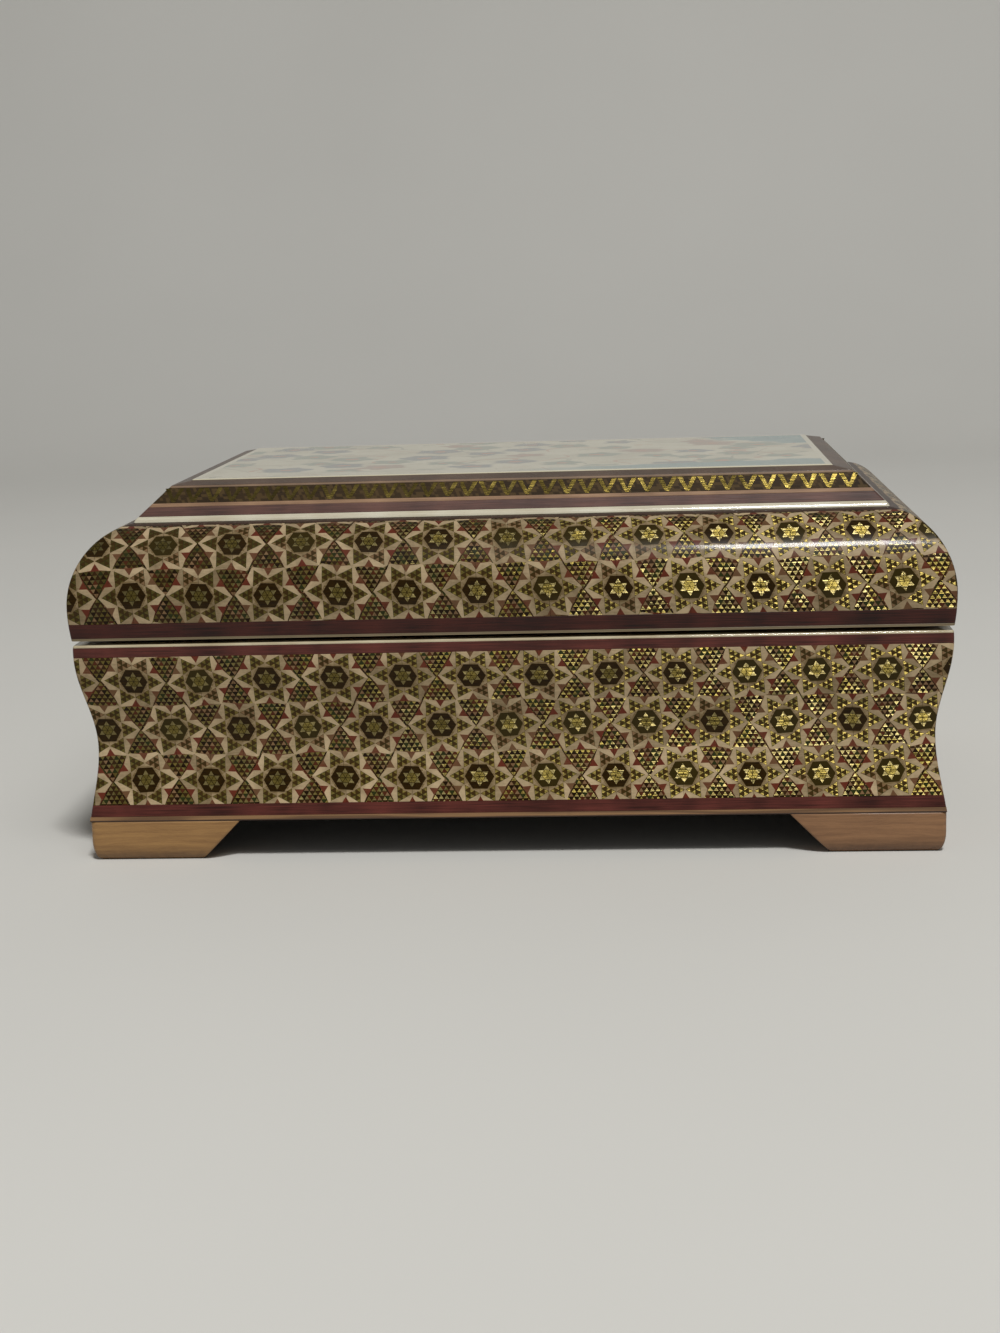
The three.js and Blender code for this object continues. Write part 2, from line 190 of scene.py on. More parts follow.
def newMaterial(name, fixed=None):
    # fixed holds the values that are the same all over the surface
    material = bpy.data.materials.new(name)
    material.use_nodes = True
    shader = material.node_tree.nodes["Principled BSDF"]
    for key, value in (fixed or {}).items():
        shader.inputs[key].default_value = value
    return material, shader, Field(material.node_tree)


def feed(shader, links):
    for key, value in links.items():
        if isinstance(value, Field):
            value.tree.links.new(value.socket, shader.inputs[key])
        else:
            shader.inputs[key].default_value = value


def surfacePlace(field):
    # the piece's own pattern map, in millimetres
    mapNode = field.node("ShaderNodeUVMap", {"uv_map": "pattern"})
    split = field.node("ShaderNodeSeparateXYZ", {}, {0: mapNode})
    across = Field(field.tree, split.socket.node.outputs[1])
    return split, across


def joinVector(field, x, y, z=0.0):
    return field.node("ShaderNodeCombineXYZ", {}, {0: x, 1: y, 2: z})


def noise(field, vector, scale, detail=2.0, roughness=0.5, output=0):
    inputs = {"Vector": vector, "Scale": scale, "Detail": detail, "Roughness": roughness}
    return field.node("ShaderNodeTexNoise", {}, inputs, output)


def vectorMath(field, operation, *values):
    return field.node("ShaderNodeVectorMath", {"operation": operation}, dict(enumerate(values)))


def scaled(field, vector, size):
    return field.node("ShaderNodeVectorMath", {"operation": "SCALE"}, {0: vector, 3: size})


def dice(field, a, b, c=0.0, count=3):
    # random numbers that stay the same for the same three whole numbers
    key = joinVector(field, a, b, c)
    thrown = field.node("ShaderNodeTexWhiteNoise", {"noise_dimensions": "3D"}, {"Vector": key}, 1)
    return parts(field, thrown, count)


def sanded(field, base, metal, along, across, lift, middle, bit, sideways):
    # sanding lines along the box spread the shine of brass up and down, and each bit leans its own way
    line = dice(field, (along * 0.5).floor(), (across * 45.0).floor(), 3.0, 1)[0] * 0.7 + bit * 0.3
    outward = field.node("ShaderNodeNewGeometry", {}, {}, 1)
    level = vectorMath(field, "NORMALIZE", vectorMath(field, "CROSS_PRODUCT", outward, (0.0, 0.0, 1.0)))
    upright = vectorMath(field, "CROSS_PRODUCT", level, outward)
    rise = parts(field, outward, 3)[2]
    tilt = (line - middle - rise * 0.3) * (1 - rise * 0.5) * 2.0 * lift
    tilted = vectorMath(field, "ADD", base, scaled(field, upright, tilt * metal))
    tilted = vectorMath(field, "ADD", tilted, scaled(field, level, sideways * metal))
    return vectorMath(field, "NORMALIZE", tilted)


def bump(field, height, strength, distance):
    return field.node("ShaderNodeBump", {}, {"Strength": strength, "Distance": distance, "Height": height})


lacquer = {"Coat Weight": 0.22, "Coat Roughness": 0.09, "Coat IOR": 1.5, "Specular IOR Level": 0.14}

# The star mosaic

khatamLook = {
    "flowerStretch": 0.93,
    "hexagon": 0.184,  # sizes of a flower, as shares of the star spacing
    "ring": 0.208,
    "starTip": 0.148,
    "petalBase": 0.222,
    "petalTip": 0.438,
    "leafTip": 0.490,
    "leafSlope": 0.78,
    "leafHalf": 0.147,
    "redBase": 0.412,
    "triangles": 12,  # small triangles to one spacing
    "finish": {"Coat Weight": 0.12, "Specular IOR Level": 0.05},
    "dirt": srgb(24, 16, 6),
    "dark": srgb(30, 18, 4),
    "hexagonWood": srgb(44, 29, 3),
    "hexagonOlive": srgb(50, 40, 10),
    "green": srgb(42, 47, 20),
    "redBrown": srgb(78, 40, 22),
    "brown": srgb(52, 34, 14),
    "cream": srgb(190, 168, 134),
    "creamOld": srgb(114, 97, 70),
    "ringTint": srgb(108, 89, 56),
    "red": srgb(98, 45, 31),
    "redWorn": srgb(104, 76, 52),
    "petalWood": srgb(62, 45, 18),
    "petalGreen": srgb(50, 54, 23),
    "camel": srgb(126, 99, 70),
    "edgeLight": srgb(70, 48, 40),
    "edgeDark": srgb(46, 32, 26),
    "brass": srgb(118, 104, 52),
    "brassPale": srgb(134, 121, 78),
    "petalBrass": srgb(122, 107, 55),
    "bandBrass": srgb(84, 72, 32),
    "brassLift": 1.0,  # the slope of the sanding lines
    "brassLevel": 0.36,  # less than a half faces more of it upwards
    "brassLean": 0.04,
}


def khatamMaterial(name, layout, look=khatamLook):
    material, shader, field = newMaterial(name, {**lacquer, **look["finish"]})
    along, across = surfacePlace(field)
    root3 = math.sqrt(3)
    halfRoot3 = root3 / 2

    # hand-laid rows wander and lean a little
    flat = joinVector(field, along, across)
    drift = noise(field, flat, 0.045, 1.0, 0.5, 1)
    driftX, driftY = parts(field, drift)
    slant = (across - layout["v"]) * layout["lean"]
    x = (along - layout["u"] + slant) / layout["spacing"] + (driftX - 0.5) * 0.08
    y = (across - layout["v"]) * (halfRoot3 / layout["rows"]) + (driftY - 0.5) * 0.10

    # nearest star centre, out of two rectangular grids
    x1 = (x + 0.5).floor()
    y1 = (y / root3 + 0.5).floor() * root3
    x2 = x.floor() + 0.5
    y2 = ((y / root3).floor() + 0.5) * root3
    near1 = (x - x1) ** 2 + (y - y1) ** 2
    near2 = (x - x2) ** 2 + (y - y2) ** 2
    pick = near1 < near2
    centreX = pick.blend(x2, x1)
    centreY = pick.blend(y2, y1)

    flowerX = centreX.math("ROUND", centreX * 2.0)
    flowerY = centreY.math("ROUND", centreY * (2.0 / root3))
    diceA, diceB, diceC = dice(field, flowerX, flowerY)
    localX = x - centreX + (diceA - 0.5) * 0.02
    localY = (y - centreY) * look["flowerStretch"] + (diceB - 0.5) * 0.02
    twist = (diceC - 0.5) * 0.14
    turnedX = localX + twist * localY
    turnedY = localY - twist * localX

    # one sixth of a flower: petalX runs along a petal, hexX out through the middle of a hexagon side
    reach = (turnedX ** 2 + turnedY ** 2) ** 0.5
    sixth = math.pi / 3
    angle = turnedY.math("ARCTAN2", turnedY, turnedX)
    folded = angle.math("WRAP", angle, sixth / 2, -sixth / 2)
    petalX = reach * folded.math("COSINE", folded)
    petalY = abs(reach * folded.math("SINE", folded))
    hexX = petalX * halfRoot3 + petalY * 0.5
    hexY = abs(petalX * 0.5 - petalY * halfRoot3)
    petalId = ((angle + sixth / 2) / sixth).floor()
    leafId = (angle / (sixth / 2)).floor()

    inHexagon = hexX < look["hexagon"]
    inRing = hexX < look["ring"]
    inStar = (hexX + hexY * root3) < look["starTip"]
    inCore = hexX < look["starTip"] / 2
    inPetal = ((petalX + petalY * root3) < look["petalTip"]) * (petalX > look["petalBase"])
    inLeaf = ((petalX + petalY * look["leafSlope"]) < look["leafTip"]) * (petalY < look["leafHalf"])
    inRed = hexX < look["redBase"]

    def smallTriangles(rows, offset):
        first = rows * 0.5 + offset
        second = rows * 0.5 - offset
        a, b, c = first.fract(), second.fract(), rows.fract()
        up = (a + b) < 1.0
        seam = up.blend(c.least((1 - a).least(1 - b)), (1 - c).least(a.least(b)))
        return up, seam, dice(field, first.floor(), second.floor(), rows.floor())

    rowHeight = halfRoot3 / look["triangles"]
    fieldUp, fieldSeam, fieldDice = smallTriangles(y / rowHeight, x * look["triangles"])
    petalRow = (look["petalTip"] - look["petalBase"]) / 3
    petalPlaceX = (look["petalTip"] - petalX) / petalRow
    petalUp, petalSeam, petalDice = smallTriangles(petalPlaceX, petalY * (halfRoot3 / petalRow))

    # which way the bright triangles of a field point
    turnHalf = (angle / sixth).floor() * 0.5
    fieldWay = turnHalf.fract() > 0.25
    fieldBright = abs(fieldUp - fieldWay)

    stainAndShade = noise(field, flat, 0.16, 3.0, 0.6)
    grain = noise(field, joinVector(field, along * 0.35, across * 2.2), 1.1, 3.0, 0.6)
    # each leaf's own lighter or darker tone is painted sheen of its grain; the stain and grain noise are the wood's
    # own colour
    leafSheenDice = dice(field, flowerX, flowerY, leafId + 20.0, 1)[0]
    leafGrainAndSheen = (stainAndShade * 0.6 + grain * 0.4 + leafSheenDice * 0.4 + diceA * 0.25 - 0.42).step(0.0, 0.95)
    cream = leafGrainAndSheen.blend(look["cream"], look["creamOld"])
    cream = (hexX.step(0.34, 0.22) * 0.5).blend(cream, look["ringTint"])
    ringShade = grain.step(0.35, 0.65).blend(look["ringTint"], cream)
    brass = (stainAndShade + (diceB - 0.5) * 0.6).step(0.2, 0.8).blend(look["brass"], look["brassPale"])

    darkTriangle = (fieldDice[2] > 0.34).blend(look["dark"], look["brown"])
    darkTriangle = (fieldDice[2] > 0.68).blend(darkTriangle, look["green"])
    darkTriangle = (fieldDice[2] > 0.84).blend(darkTriangle, look["redBrown"])
    fieldMask = fieldBright * (fieldSeam > 0.05)
    camel = fieldDice[2].fract() * 7.0
    isCamel = camel.fract() > 0.78
    fieldBrass = fieldMask * (1 - isCamel)
    fieldColour = fieldMask.blend(darkTriangle, isCamel.blend(brass, look["camel"]))
    petalPale = dice(field, flowerX, flowerY, petalId, 1)[0] > 0.85
    petalMask = petalUp * (petalSeam > 0.08)
    petalLight = petalPale.blend(look["petalBrass"], look["camel"])
    petalGround = (petalDice[2] > 0.70).blend(look["petalWood"], look["petalGreen"])
    petalColour = petalMask.blend(petalGround, petalLight)

    starLines = (abs(hexX - look["starTip"] / 2) < 0.004).most(petalY < 0.0035)
    starColour = inCore.blend(look["brassPale"], look["brass"])
    hexColour = grain.step(0.3, 0.6).blend(look["dark"], look["hexagonWood"])
    hexColour = (diceC > 0.78).blend(hexColour, look["hexagonOlive"])
    hexColour = (inStar * (1 - starLines)).blend(hexColour, starColour)

    redDice = dice(field, flowerX, flowerY, (angle / sixth).floor() + 80.0, 1)[0]
    redColour = (redDice * 0.7 + grain * 0.6).step(0.45, 0.95).blend(look["red"], look["redWorn"])
    shade = inRed.blend(fieldColour, redColour)
    shade = inLeaf.blend(shade, cream)
    shade = inPetal.blend(shade, petalColour)
    shade = inRing.blend(shade, ringShade)
    shade = inHexagon.blend(shade, hexColour)

    metal = fieldBrass * (1 - inRed)
    metal = inLeaf.blend(metal, 0.0)
    metal = inPetal.blend(metal, petalMask * (1 - petalPale))
    metal = inRing.blend(metal, 0.0)
    metal = inHexagon.blend(metal, inStar)

    # each bit of brass wire leans its own way
    starDice = dice(field, flowerX, flowerY, leafId * (1 - inCore) + 50.0, 2)
    lean = inPetal.blend(fieldDice[0], petalDice[0])
    lean = (inHexagon.blend(lean, starDice[0] * 0.5 + diceA * 0.5) - 0.5) * 2.0
    bit = inPetal.blend(fieldDice[1], petalDice[1])
    bit = inHexagon.blend(bit, starDice[1] * 0.4 + diceC * 0.6 - layout["dull"])

    # saw cuts between the slices of the mosaic
    cutX = x * 2.0
    cutShare = noise(field, joinVector(field, cutX.math("ROUND", cutX) * 3.7, y * 0.8), 1.0, 1.0, 0.5)
    cut = (abs((cutX + 0.5).fract() - 0.5) < 0.010) * (cutShare > 0.5)
    shade = (cut * 0.45).blend(shade, look["dark"])
    metal = metal * (1 - cut)
    if "edge" in layout:
        # a dark strip closes the mosaic towards the band above
        inEdge = across > layout["edge"]
        shade = inEdge.blend(shade, grain.step(0.35, 0.65).blend(look["edgeDark"], look["edgeLight"]))
        metal = metal * (1 - inEdge)
    # dirt darkens the mosaic in patches; the layout's share darkens it all over with the same colour, as painted
    # shade on the dome
    dirt = noise(field, flat, 0.55, 4.0, 0.65).step(0.42, 0.75)
    shade = (dirt * 0.2 + layout.get("stainAndShade", 0.0)).blend(shade, look["dirt"])
    ripple = noise(field, flat, 0.9, 2.0, 0.5)
    surface = bump(field, ripple, 0.05, 0.0006)
    feed(shader, {
        "Base Color": shade,
        "Metallic": metal,
        "Roughness": metal.blend(0.34, layout["brassRoughness"]),
        "Normal": sanded(field, surface, metal, along, across, look["brassLift"], look["brassLevel"],
                         bit, lean * look["brassLean"]),
    })
    return material


def parts(field, vector, count=2):
    split = field.node("ShaderNodeSeparateXYZ", {}, {0: vector}).socket.node
    return [Field(field.tree, split.outputs[i]) for i in range(count)]


# Strips, lines, wood and metal

stripLook = {
    "red": {"light": srgb(100, 49, 42), "dark": srgb(42, 20, 16), "lines": srgb(26, 13, 10)},
    # a darker copy of the red for the lid's strip: painted shade under the lid's swell
    "lidRed": {"light": srgb(74, 33, 26), "dark": srgb(25, 12, 9), "lines": srgb(16, 8, 6)},
    "bevelRed": {"light": srgb(96, 61, 51), "dark": srgb(50, 28, 23), "lines": srgb(34, 19, 15), "sheen": 0.5},
    "frame": {"light": srgb(88, 66, 52), "dark": srgb(54, 40, 32), "lines": srgb(36, 25, 18)},
    "light": {"light": srgb(154, 122, 94), "dark": srgb(112, 84, 62), "lines": srgb(78, 50, 34), "sheen": 0.4},
    "topLine": {"light": srgb(136, 112, 90), "dark": srgb(98, 78, 62), "lines": srgb(66, 46, 34), "sheen": 0.4},
    "bone": {"light": srgb(204, 200, 182), "dark": srgb(176, 166, 142), "lines": srgb(140, 126, 100),
             "coat": 1.0},
    "rim": {"light": srgb(196, 186, 160), "dark": srgb(158, 144, 114), "lines": srgb(104, 88, 62), "coat": 1.0},
    # the lid's rim line gets a darker colour on its outer face: painted shade
    "lidRim": {"light": srgb(184, 170, 142), "dark": srgb(146, 130, 102), "lines": srgb(100, 84, 58),
               "coat": 0.5, "darkening": srgb(104, 90, 66)},
    "zigzag": {"light": srgb(58, 43, 22), "dark": srgb(34, 24, 11), "lines": srgb(22, 15, 7),
               "bits": srgb(72, 56, 31)},
}


def stripMaterial(name, shades, streak=0.5):
    material, shader, field = newMaterial(name, {
        **lacquer, "Coat Weight": shades.get("coat", 0.22), "Specular IOR Level": shades.get("sheen", 0.14),
    })
    along, across = surfacePlace(field)
    flat = joinVector(field, along, across)
    fibres = noise(field, joinVector(field, along * 0.05, across * 2.6), 1.6, 4.0, 0.6)
    patches = noise(field, flat, 0.08, 2.0, 0.5)
    pores = noise(field, joinVector(field, along * 0.22, across * 5.0), 2.0, 2.0, 0.7).step(0.62, 0.72)
    shade = (fibres * streak + patches * (1 - streak)).step(0.32, 0.68).blend(shades["dark"], shades["light"])
    shade = (pores * 0.55).blend(shade, shades["lines"])
    if "darkening" in shades:
        # the outer face, darkened as painted shade under the lid's swell
        shade = (across.step(0.06, 0.2) * 0.85).blend(shade, shades["darkening"])
    if "bits" in shades:
        # lighter bits of wood between the brass zigzag
        chance = dice(field, (along * 1.4 + across * 0.5).floor(), (across * 1.2).floor(), 7.0, 1)[0]
        shade = ((chance > 0.62) * 0.8).blend(shade, shades["bits"])
    feed(shader, {
        "Base Color": shade,
        "Roughness": fibres.blend(0.32, 0.5),
        "Normal": bump(field, fibres + noise(field, flat, 0.6) * 0.6, 0.12, 0.0004),
    })
    return material


def woodMaterial(name, light, dark, lines, axis, gloss=0.4):
    # solid wood with its grain along an axis of the object, 0, 1 or 2
    material, shader, field = newMaterial(name, {"Coat Weight": gloss, "Coat Roughness": 0.25})
    place = field.node("ShaderNodeTexCoord", {}, {}, 3)
    stretch = [160.0, 160.0, 160.0]
    stretch[axis] = 9.0
    fine = [900.0, 900.0, 900.0]
    fine[axis] = 40.0
    vectors = [
        field.node("ShaderNodeVectorMath", {"operation": "MULTIPLY"}, {0: place, 1: tuple(scale)})
        for scale in (stretch, fine)
    ]
    rings = noise(field, vectors[0], 1.0, 3.0, 0.55)
    fibres = noise(field, vectors[1], 1.0, 4.0, 0.65)
    patches = noise(field, place, 40.0, 2.0, 0.5)
    bands = ((rings * 7.0).fract() - 0.5)
    bands = (abs(bands) * 2.0).step(0.0, 1.0)
    shade = (bands * 0.55 + patches * 0.45).step(0.2, 0.85).blend(dark, light)
    pores = fibres.step(0.60, 0.72)
    shade = (pores * 0.45).blend(shade, lines)
    worn = noise(field, place, 220.0, 3.0, 0.6).step(0.60, 0.8)
    shade = (worn * 0.25).blend(shade, lines)
    feed(shader, {
        "Base Color": shade,
        "Roughness": fibres.blend(0.42, 0.62),
        "Normal": bump(field, fibres + bands * 0.3, 0.22, 0.0004),
    })
    return material


def boardMaterial(name, light, dark, lines, under):
    # the floor board: its edge shows pale, its underside is painted dark as painted shade beneath the box
    material = woodMaterial(name, light, dark, lines, 0, 0.2)
    shader = material.node_tree.nodes["Principled BSDF"]
    field = Field(material.node_tree)
    shade = Field(field.tree, shader.inputs["Base Color"].links[0].from_socket)
    facing = parts(field, field.node("ShaderNodeNewGeometry", {}, {}, 1), 3)[2]
    place = parts(field, field.node("ShaderNodeTexCoord", {}, {}, 3), 3)
    uneven = noise(field, joinVector(field, place[0] * 120.0, place[1] * 120.0), 1.0, 3.0, 0.6) * 0.0003
    low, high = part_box("floor_board")
    hairline = (place[2] < (uneven + (low.z + 0.0001))).most(place[2] > (high.z - 0.00005 - uneven))
    shade = (hairline * (abs(facing) < 0.5)).blend(shade, lines)
    # the downward face is painted dark: painted shade beneath the box
    feed(shader, {"Base Color": (facing < -0.5).blend(shade, under)})
    return material


def brassMaterial(name):
    material, shader, field = newMaterial(name, {"Metallic": 1.0})
    place = field.node("ShaderNodeTexCoord", {}, {}, 3)
    tarnish = noise(field, place, 260.0, 4.0, 0.65)
    scratches = noise(field, field.node("ShaderNodeVectorMath", {"operation": "MULTIPLY"},
                                        {0: place, 1: (300.0, 4000.0, 4000.0)}), 1.0, 2.0, 0.6)
    shade = tarnish.step(0.35, 0.75).blend(srgb(206, 172, 96), srgb(140, 104, 52))
    feed(shader, {
        "Base Color": shade,
        "Roughness": (tarnish * 0.6 + scratches * 0.4).blend(0.2, 0.5),
        "Normal": bump(field, scratches, 0.1, 0.0002),
    })
    return material


def inlayBrass(name, look=khatamLook):
    # sanded flat with the veneer round it
    material, shader, field = newMaterial(name, lacquer)
    along, across = surfacePlace(field)
    place = field.node("ShaderNodeTexCoord", {}, {}, 3)
    tarnish = noise(field, place, 400.0, 3.0, 0.6)
    bit = noise(field, place, 160.0, 1.0, 0.5)
    shade = tarnish.step(0.2, 0.6).blend(look["petalBrass"], look["bandBrass"])
    surface = bump(field, tarnish, 0.05, 0.0004)
    feed(shader, {
        "Base Color": shade,
        "Metallic": 1.0,
        "Roughness": tarnish.blend(0.24, 0.34),
        "Normal": sanded(field, surface, 1.0, along, across, look["brassLift"], 0.34, bit, (bit - 0.5) * 0.2),
    })
    return material


def velvetMaterial(name):
    fixed = {"Sheen Weight": 0.6, "Sheen Roughness": 0.35, "Sheen Tint": (0.9, 0.35, 0.4, 1.0),
             "Specular IOR Level": 0.2}
    material, shader, field = newMaterial(name, fixed)
    place = field.node("ShaderNodeTexCoord", {}, {}, 3)
    nap = noise(field, place, 2600.0, 2.0, 0.7)
    brushed = noise(field, place, 45.0, 3.0, 0.6)
    crushed = noise(field, place, 130.0, 2.0, 0.5)
    shade = (brushed * 0.6 + crushed * 0.4).step(0.3, 0.7).blend(srgb(84, 14, 28), srgb(128, 26, 42))
    shade = (nap * 0.5).blend(shade, srgb(52, 8, 18))
    feed(shader, {
        "Base Color": shade,
        "Roughness": brushed.blend(0.8, 1.0),
        "Normal": bump(field, nap + crushed * 2.0, 0.35, 0.0006),
    })
    return material


panelLook = {
    "ivory": srgb(198, 191, 166),
    "ivoryOld": srgb(176, 168, 142),
    "washes": (srgb(112, 126, 106), srgb(90, 98, 102), srgb(146, 114, 92)),
    "turquoise": srgb(84, 126, 128),
    "line": srgb(172, 118, 88),
    "stem": srgb(118, 122, 104),
    "cell": 21.0,
    "margin": 7.0,
}


def panelMaterial(name, halfLength, halfDepth, look=panelLook):
    # a lacquered sheet painted with loose flowers on cream, and plain pale water at its front edge
    material, shader, field = newMaterial(name, {"Coat Weight": 1.0, "Coat Roughness": 0.16})
    x, y = surfacePlace(field)
    flat = joinVector(field, x, y)
    edge = (halfLength - abs(x)).least(halfDepth - abs(y))
    wash = noise(field, flat, 0.05, 4.0, 0.6)
    speck = noise(field, flat, 0.7, 3.0, 0.6)
    shade = wash.step(0.35, 0.7).blend(look["ivory"], look["ivoryOld"])

    # thin stems, drawn where a slow field changes its whole number
    swayX, swayY, swayZ = parts(field, noise(field, flat, 0.022, 2.0, 0.5, 1), 3)
    for slow, count, tint in ((swayX, 9.0, look["stem"]), (swayY, 7.0, look["line"])):
        line = abs((slow * count).fract() - 0.5) < 0.035
        shade = (line * (wash > 0.46) * 0.6).blend(shade, tint)

    # one flower to a cell, moved about in it, with lobes and an eye
    softX, softY = parts(field, noise(field, flat, 0.16, 2.0, 0.5, 1))
    cellX = x / look["cell"] + (softX - 0.5) * 0.22
    cellY = y / look["cell"] + (softY - 0.5) * 0.22
    for offset in (0.0, 0.5):
        gridX, gridY = cellX + offset, cellY * 1.3 + offset
        diceA, diceB, diceC = dice(field, gridX.floor(), gridY.floor(), offset * 8.0)
        petalX = gridX.fract() - 0.5 + (diceA - 0.5) * 0.35
        petalY = (gridY.fract() - 0.5) / 1.3 + (diceB - 0.5) * 0.3
        reach = (petalX ** 2 + petalY ** 2) ** 0.5
        turn = petalY.math("ARCTAN2", petalY, petalX) + diceC * 6.0
        lobes = (turn * 5.0).math("COSINE", turn * 5.0)
        size = diceA * 0.12 + 0.20 + lobes * 0.035
        bloom = (size - reach).step(-0.03, 0.05) * (diceB > 0.28) * (y + halfDepth).step(6.0, 14.0)
        tint = (diceC > 0.36).blend(look["washes"][1], look["washes"][0])
        tint = (diceC > 0.88).blend(tint, look["washes"][2])
        veins = abs(lobes) < 0.16
        tint = (veins * 0.5).blend(tint, look["stem"])
        shade = (bloom * 0.85).blend(shade, tint)
        shade = ((reach < size * 0.30) * bloom * 0.8).blend(shade, look["line"])

    # pale water along the front, wider to the right, and a patch of it at the back
    shore = (softX - 0.5) * 9.0 + (y + halfDepth)
    water = (x * 0.15 - shore + 7.0).step(0.0, 3.0) * x.step(-10.0, 30.0)
    patch = (x - halfLength + 34.0 + (halfDepth - y) * -0.9 + (softY - 0.5) * 20.0).step(0.0, 6.0)
    water = water.most(patch * (y > halfDepth - 26.0))
    shade = (water * 0.85).blend(shade, look["turquoise"])
    shade = (edge < look["margin"] * 0.22).blend(shade, look["ivory"])
    shade = (speck.step(0.5, 0.8) * 0.25).blend(shade, look["ivoryOld"])
    feed(shader, {
        "Base Color": shade,
        "Roughness": speck.blend(0.3, 0.45),
        "Normal": bump(field, noise(field, flat, 0.25, 2.0, 0.5), 0.1, 0.0008),
    })
    return material


# Curves of the box, in millimetres, the same as the frame's

sizes = {
    "length": 200.0,
    "depth": 136.0,
    "veneer": 0.8,
    "bottomInset": 1.7,
    "waistInset": 4.1,
    "waistRise": 17.5,
    "waistShare": 0.73,
    "swellInset": 0.6,
    "swellBelowRim": 2.2,
    "lidRimInset": 0.54,
    "widestRise": 7.3,
    "domeRun": 15.0,
    "domeRise": 18.1,
    "domeEndInset": 13.4,
    "edgingInset": 3.5,
    "cornerRound": 0.55,
    "arris": 0.07,  # the worn edge between two strips
    "rimRound": 0.42,
    "bandBulge": 0.13,
}
topStrips = {
    "lid_bone_band": (1.65, 53),
    "bevel_red_strip": (2.85, 44),
    "bevel_light_line": (1.1, 44),
    "bevel_zigzag_strip": (4.65, 44),
    "bevel_top_line": (0.62, 44),
    "picture_frame_strip": (4.27, 11),
}
sides = {
    "front": (0, "length", "depth"),
    "right": (1, "depth", "length"),
    "back": (2, "length", "depth"),
    "left": (3, "depth", "length"),
}


def heights(node):
    low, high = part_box(node)
    return low.z / mm, high.z / mm


caseBottom = heights("floor_board")[0]
rim = heights("case_rim_bone_line")[1]
lidBottom = heights("lid_rim_bone_line")[0]
widest = lidBottom + sizes["widestRise"]


def caseInset(height):
    waist = caseBottom + sizes["waistRise"]

    def halfWave(share):
        return (1 - math.cos(math.pi * share)) / 2

    if height < waist:
        share = sizes["waistShare"] * (waist - height) / sizes["waistRise"]
        swing = (sizes["waistInset"] - sizes["bottomInset"]) / halfWave(sizes["waistShare"])
        return sizes["waistInset"] - swing * halfWave(share)
    share = (height - waist) / (rim - sizes["swellBelowRim"] - waist)
    return sizes["waistInset"] - (sizes["waistInset"] - sizes["swellInset"]) * halfWave(share)


def lidInset(height):
    return sizes["lidRimInset"] * ((widest - height) / sizes["widestRise"]) ** 2


def spread(low, high, step):
    count = max(1, round((high - low) / step))
    return [low + (high - low) * i / count for i in range(count + 1)]


def caseCurve(low, high, step=0.8):
    return [Vector((caseInset(z), z)) for z in spread(low, high, step)]


def lidSwell(low, high, step=0.8):
    return [Vector((lidInset(z), z)) for z in spread(low, high, step)]


def domeCurve(count=36):
    end = math.acos(1 - sizes["domeEndInset"] / sizes["domeRun"])
    run, rise = sizes["domeRun"], sizes["domeRise"]
    return [
        Vector((run * (1 - math.cos(end * i / count)), widest + rise * math.sin(end * i / count)))
        for i in range(count + 1)
    ]


def topCorners():
    corners = [domeCurve()[-1]]
    for width, slope in topStrips.values():
        turn = math.radians(slope)
        corners.append(corners[-1] + Vector((math.cos(turn), math.sin(turn))) * width)
    return corners


def inward(points, distance):
    # the same line, one veneer deeper
    result = []
    for i, here in enumerate(points):
        before = (here - points[i - 1]).normalized() if i else None
        after = (points[i + 1] - here).normalized() if i + 1 < len(points) else None
        ways = [Vector((way.y, -way.x)) for way in (before, after) if way]
        middle = sum(ways, Vector((0, 0))).normalized()
        result.append(here + middle * (distance / middle.dot(ways[0])))
    return result


def arcs(points):
    total = [0.0]
    for a, b in zip(points, points[1:]):
        total.append(total[-1] + (b - a).length)
    return total


# Meshes


def meshObject(name, points, faces, maps, smoothAngle=32):
    # points in millimetres, faces as lists of point numbers, maps as the pattern place of each corner
    mesh = bpy.data.meshes.new(name)
    mesh.from_pydata([Vector(p) * mm for p in points], [], faces)
    layer = mesh.uv_layers.new(name="pattern")
    corner = 0
    for face in maps:
        for place in face:
            layer.data[corner].uv = place
            corner += 1
    work = bmesh.new()
    work.from_mesh(mesh)
    bmesh.ops.remove_doubles(work, verts=work.verts, dist=0.002 * mm)
    bmesh.ops.recalc_face_normals(work, faces=work.faces)
    work.to_mesh(mesh)
    work.free()
    mesh.shade_smooth()
    mesh.set_sharp_from_angle(angle=math.radians(smoothAngle))
    piece = bpy.data.objects.new(name, mesh)
    bpy.context.scene.collection.objects.link(piece)
    return piece


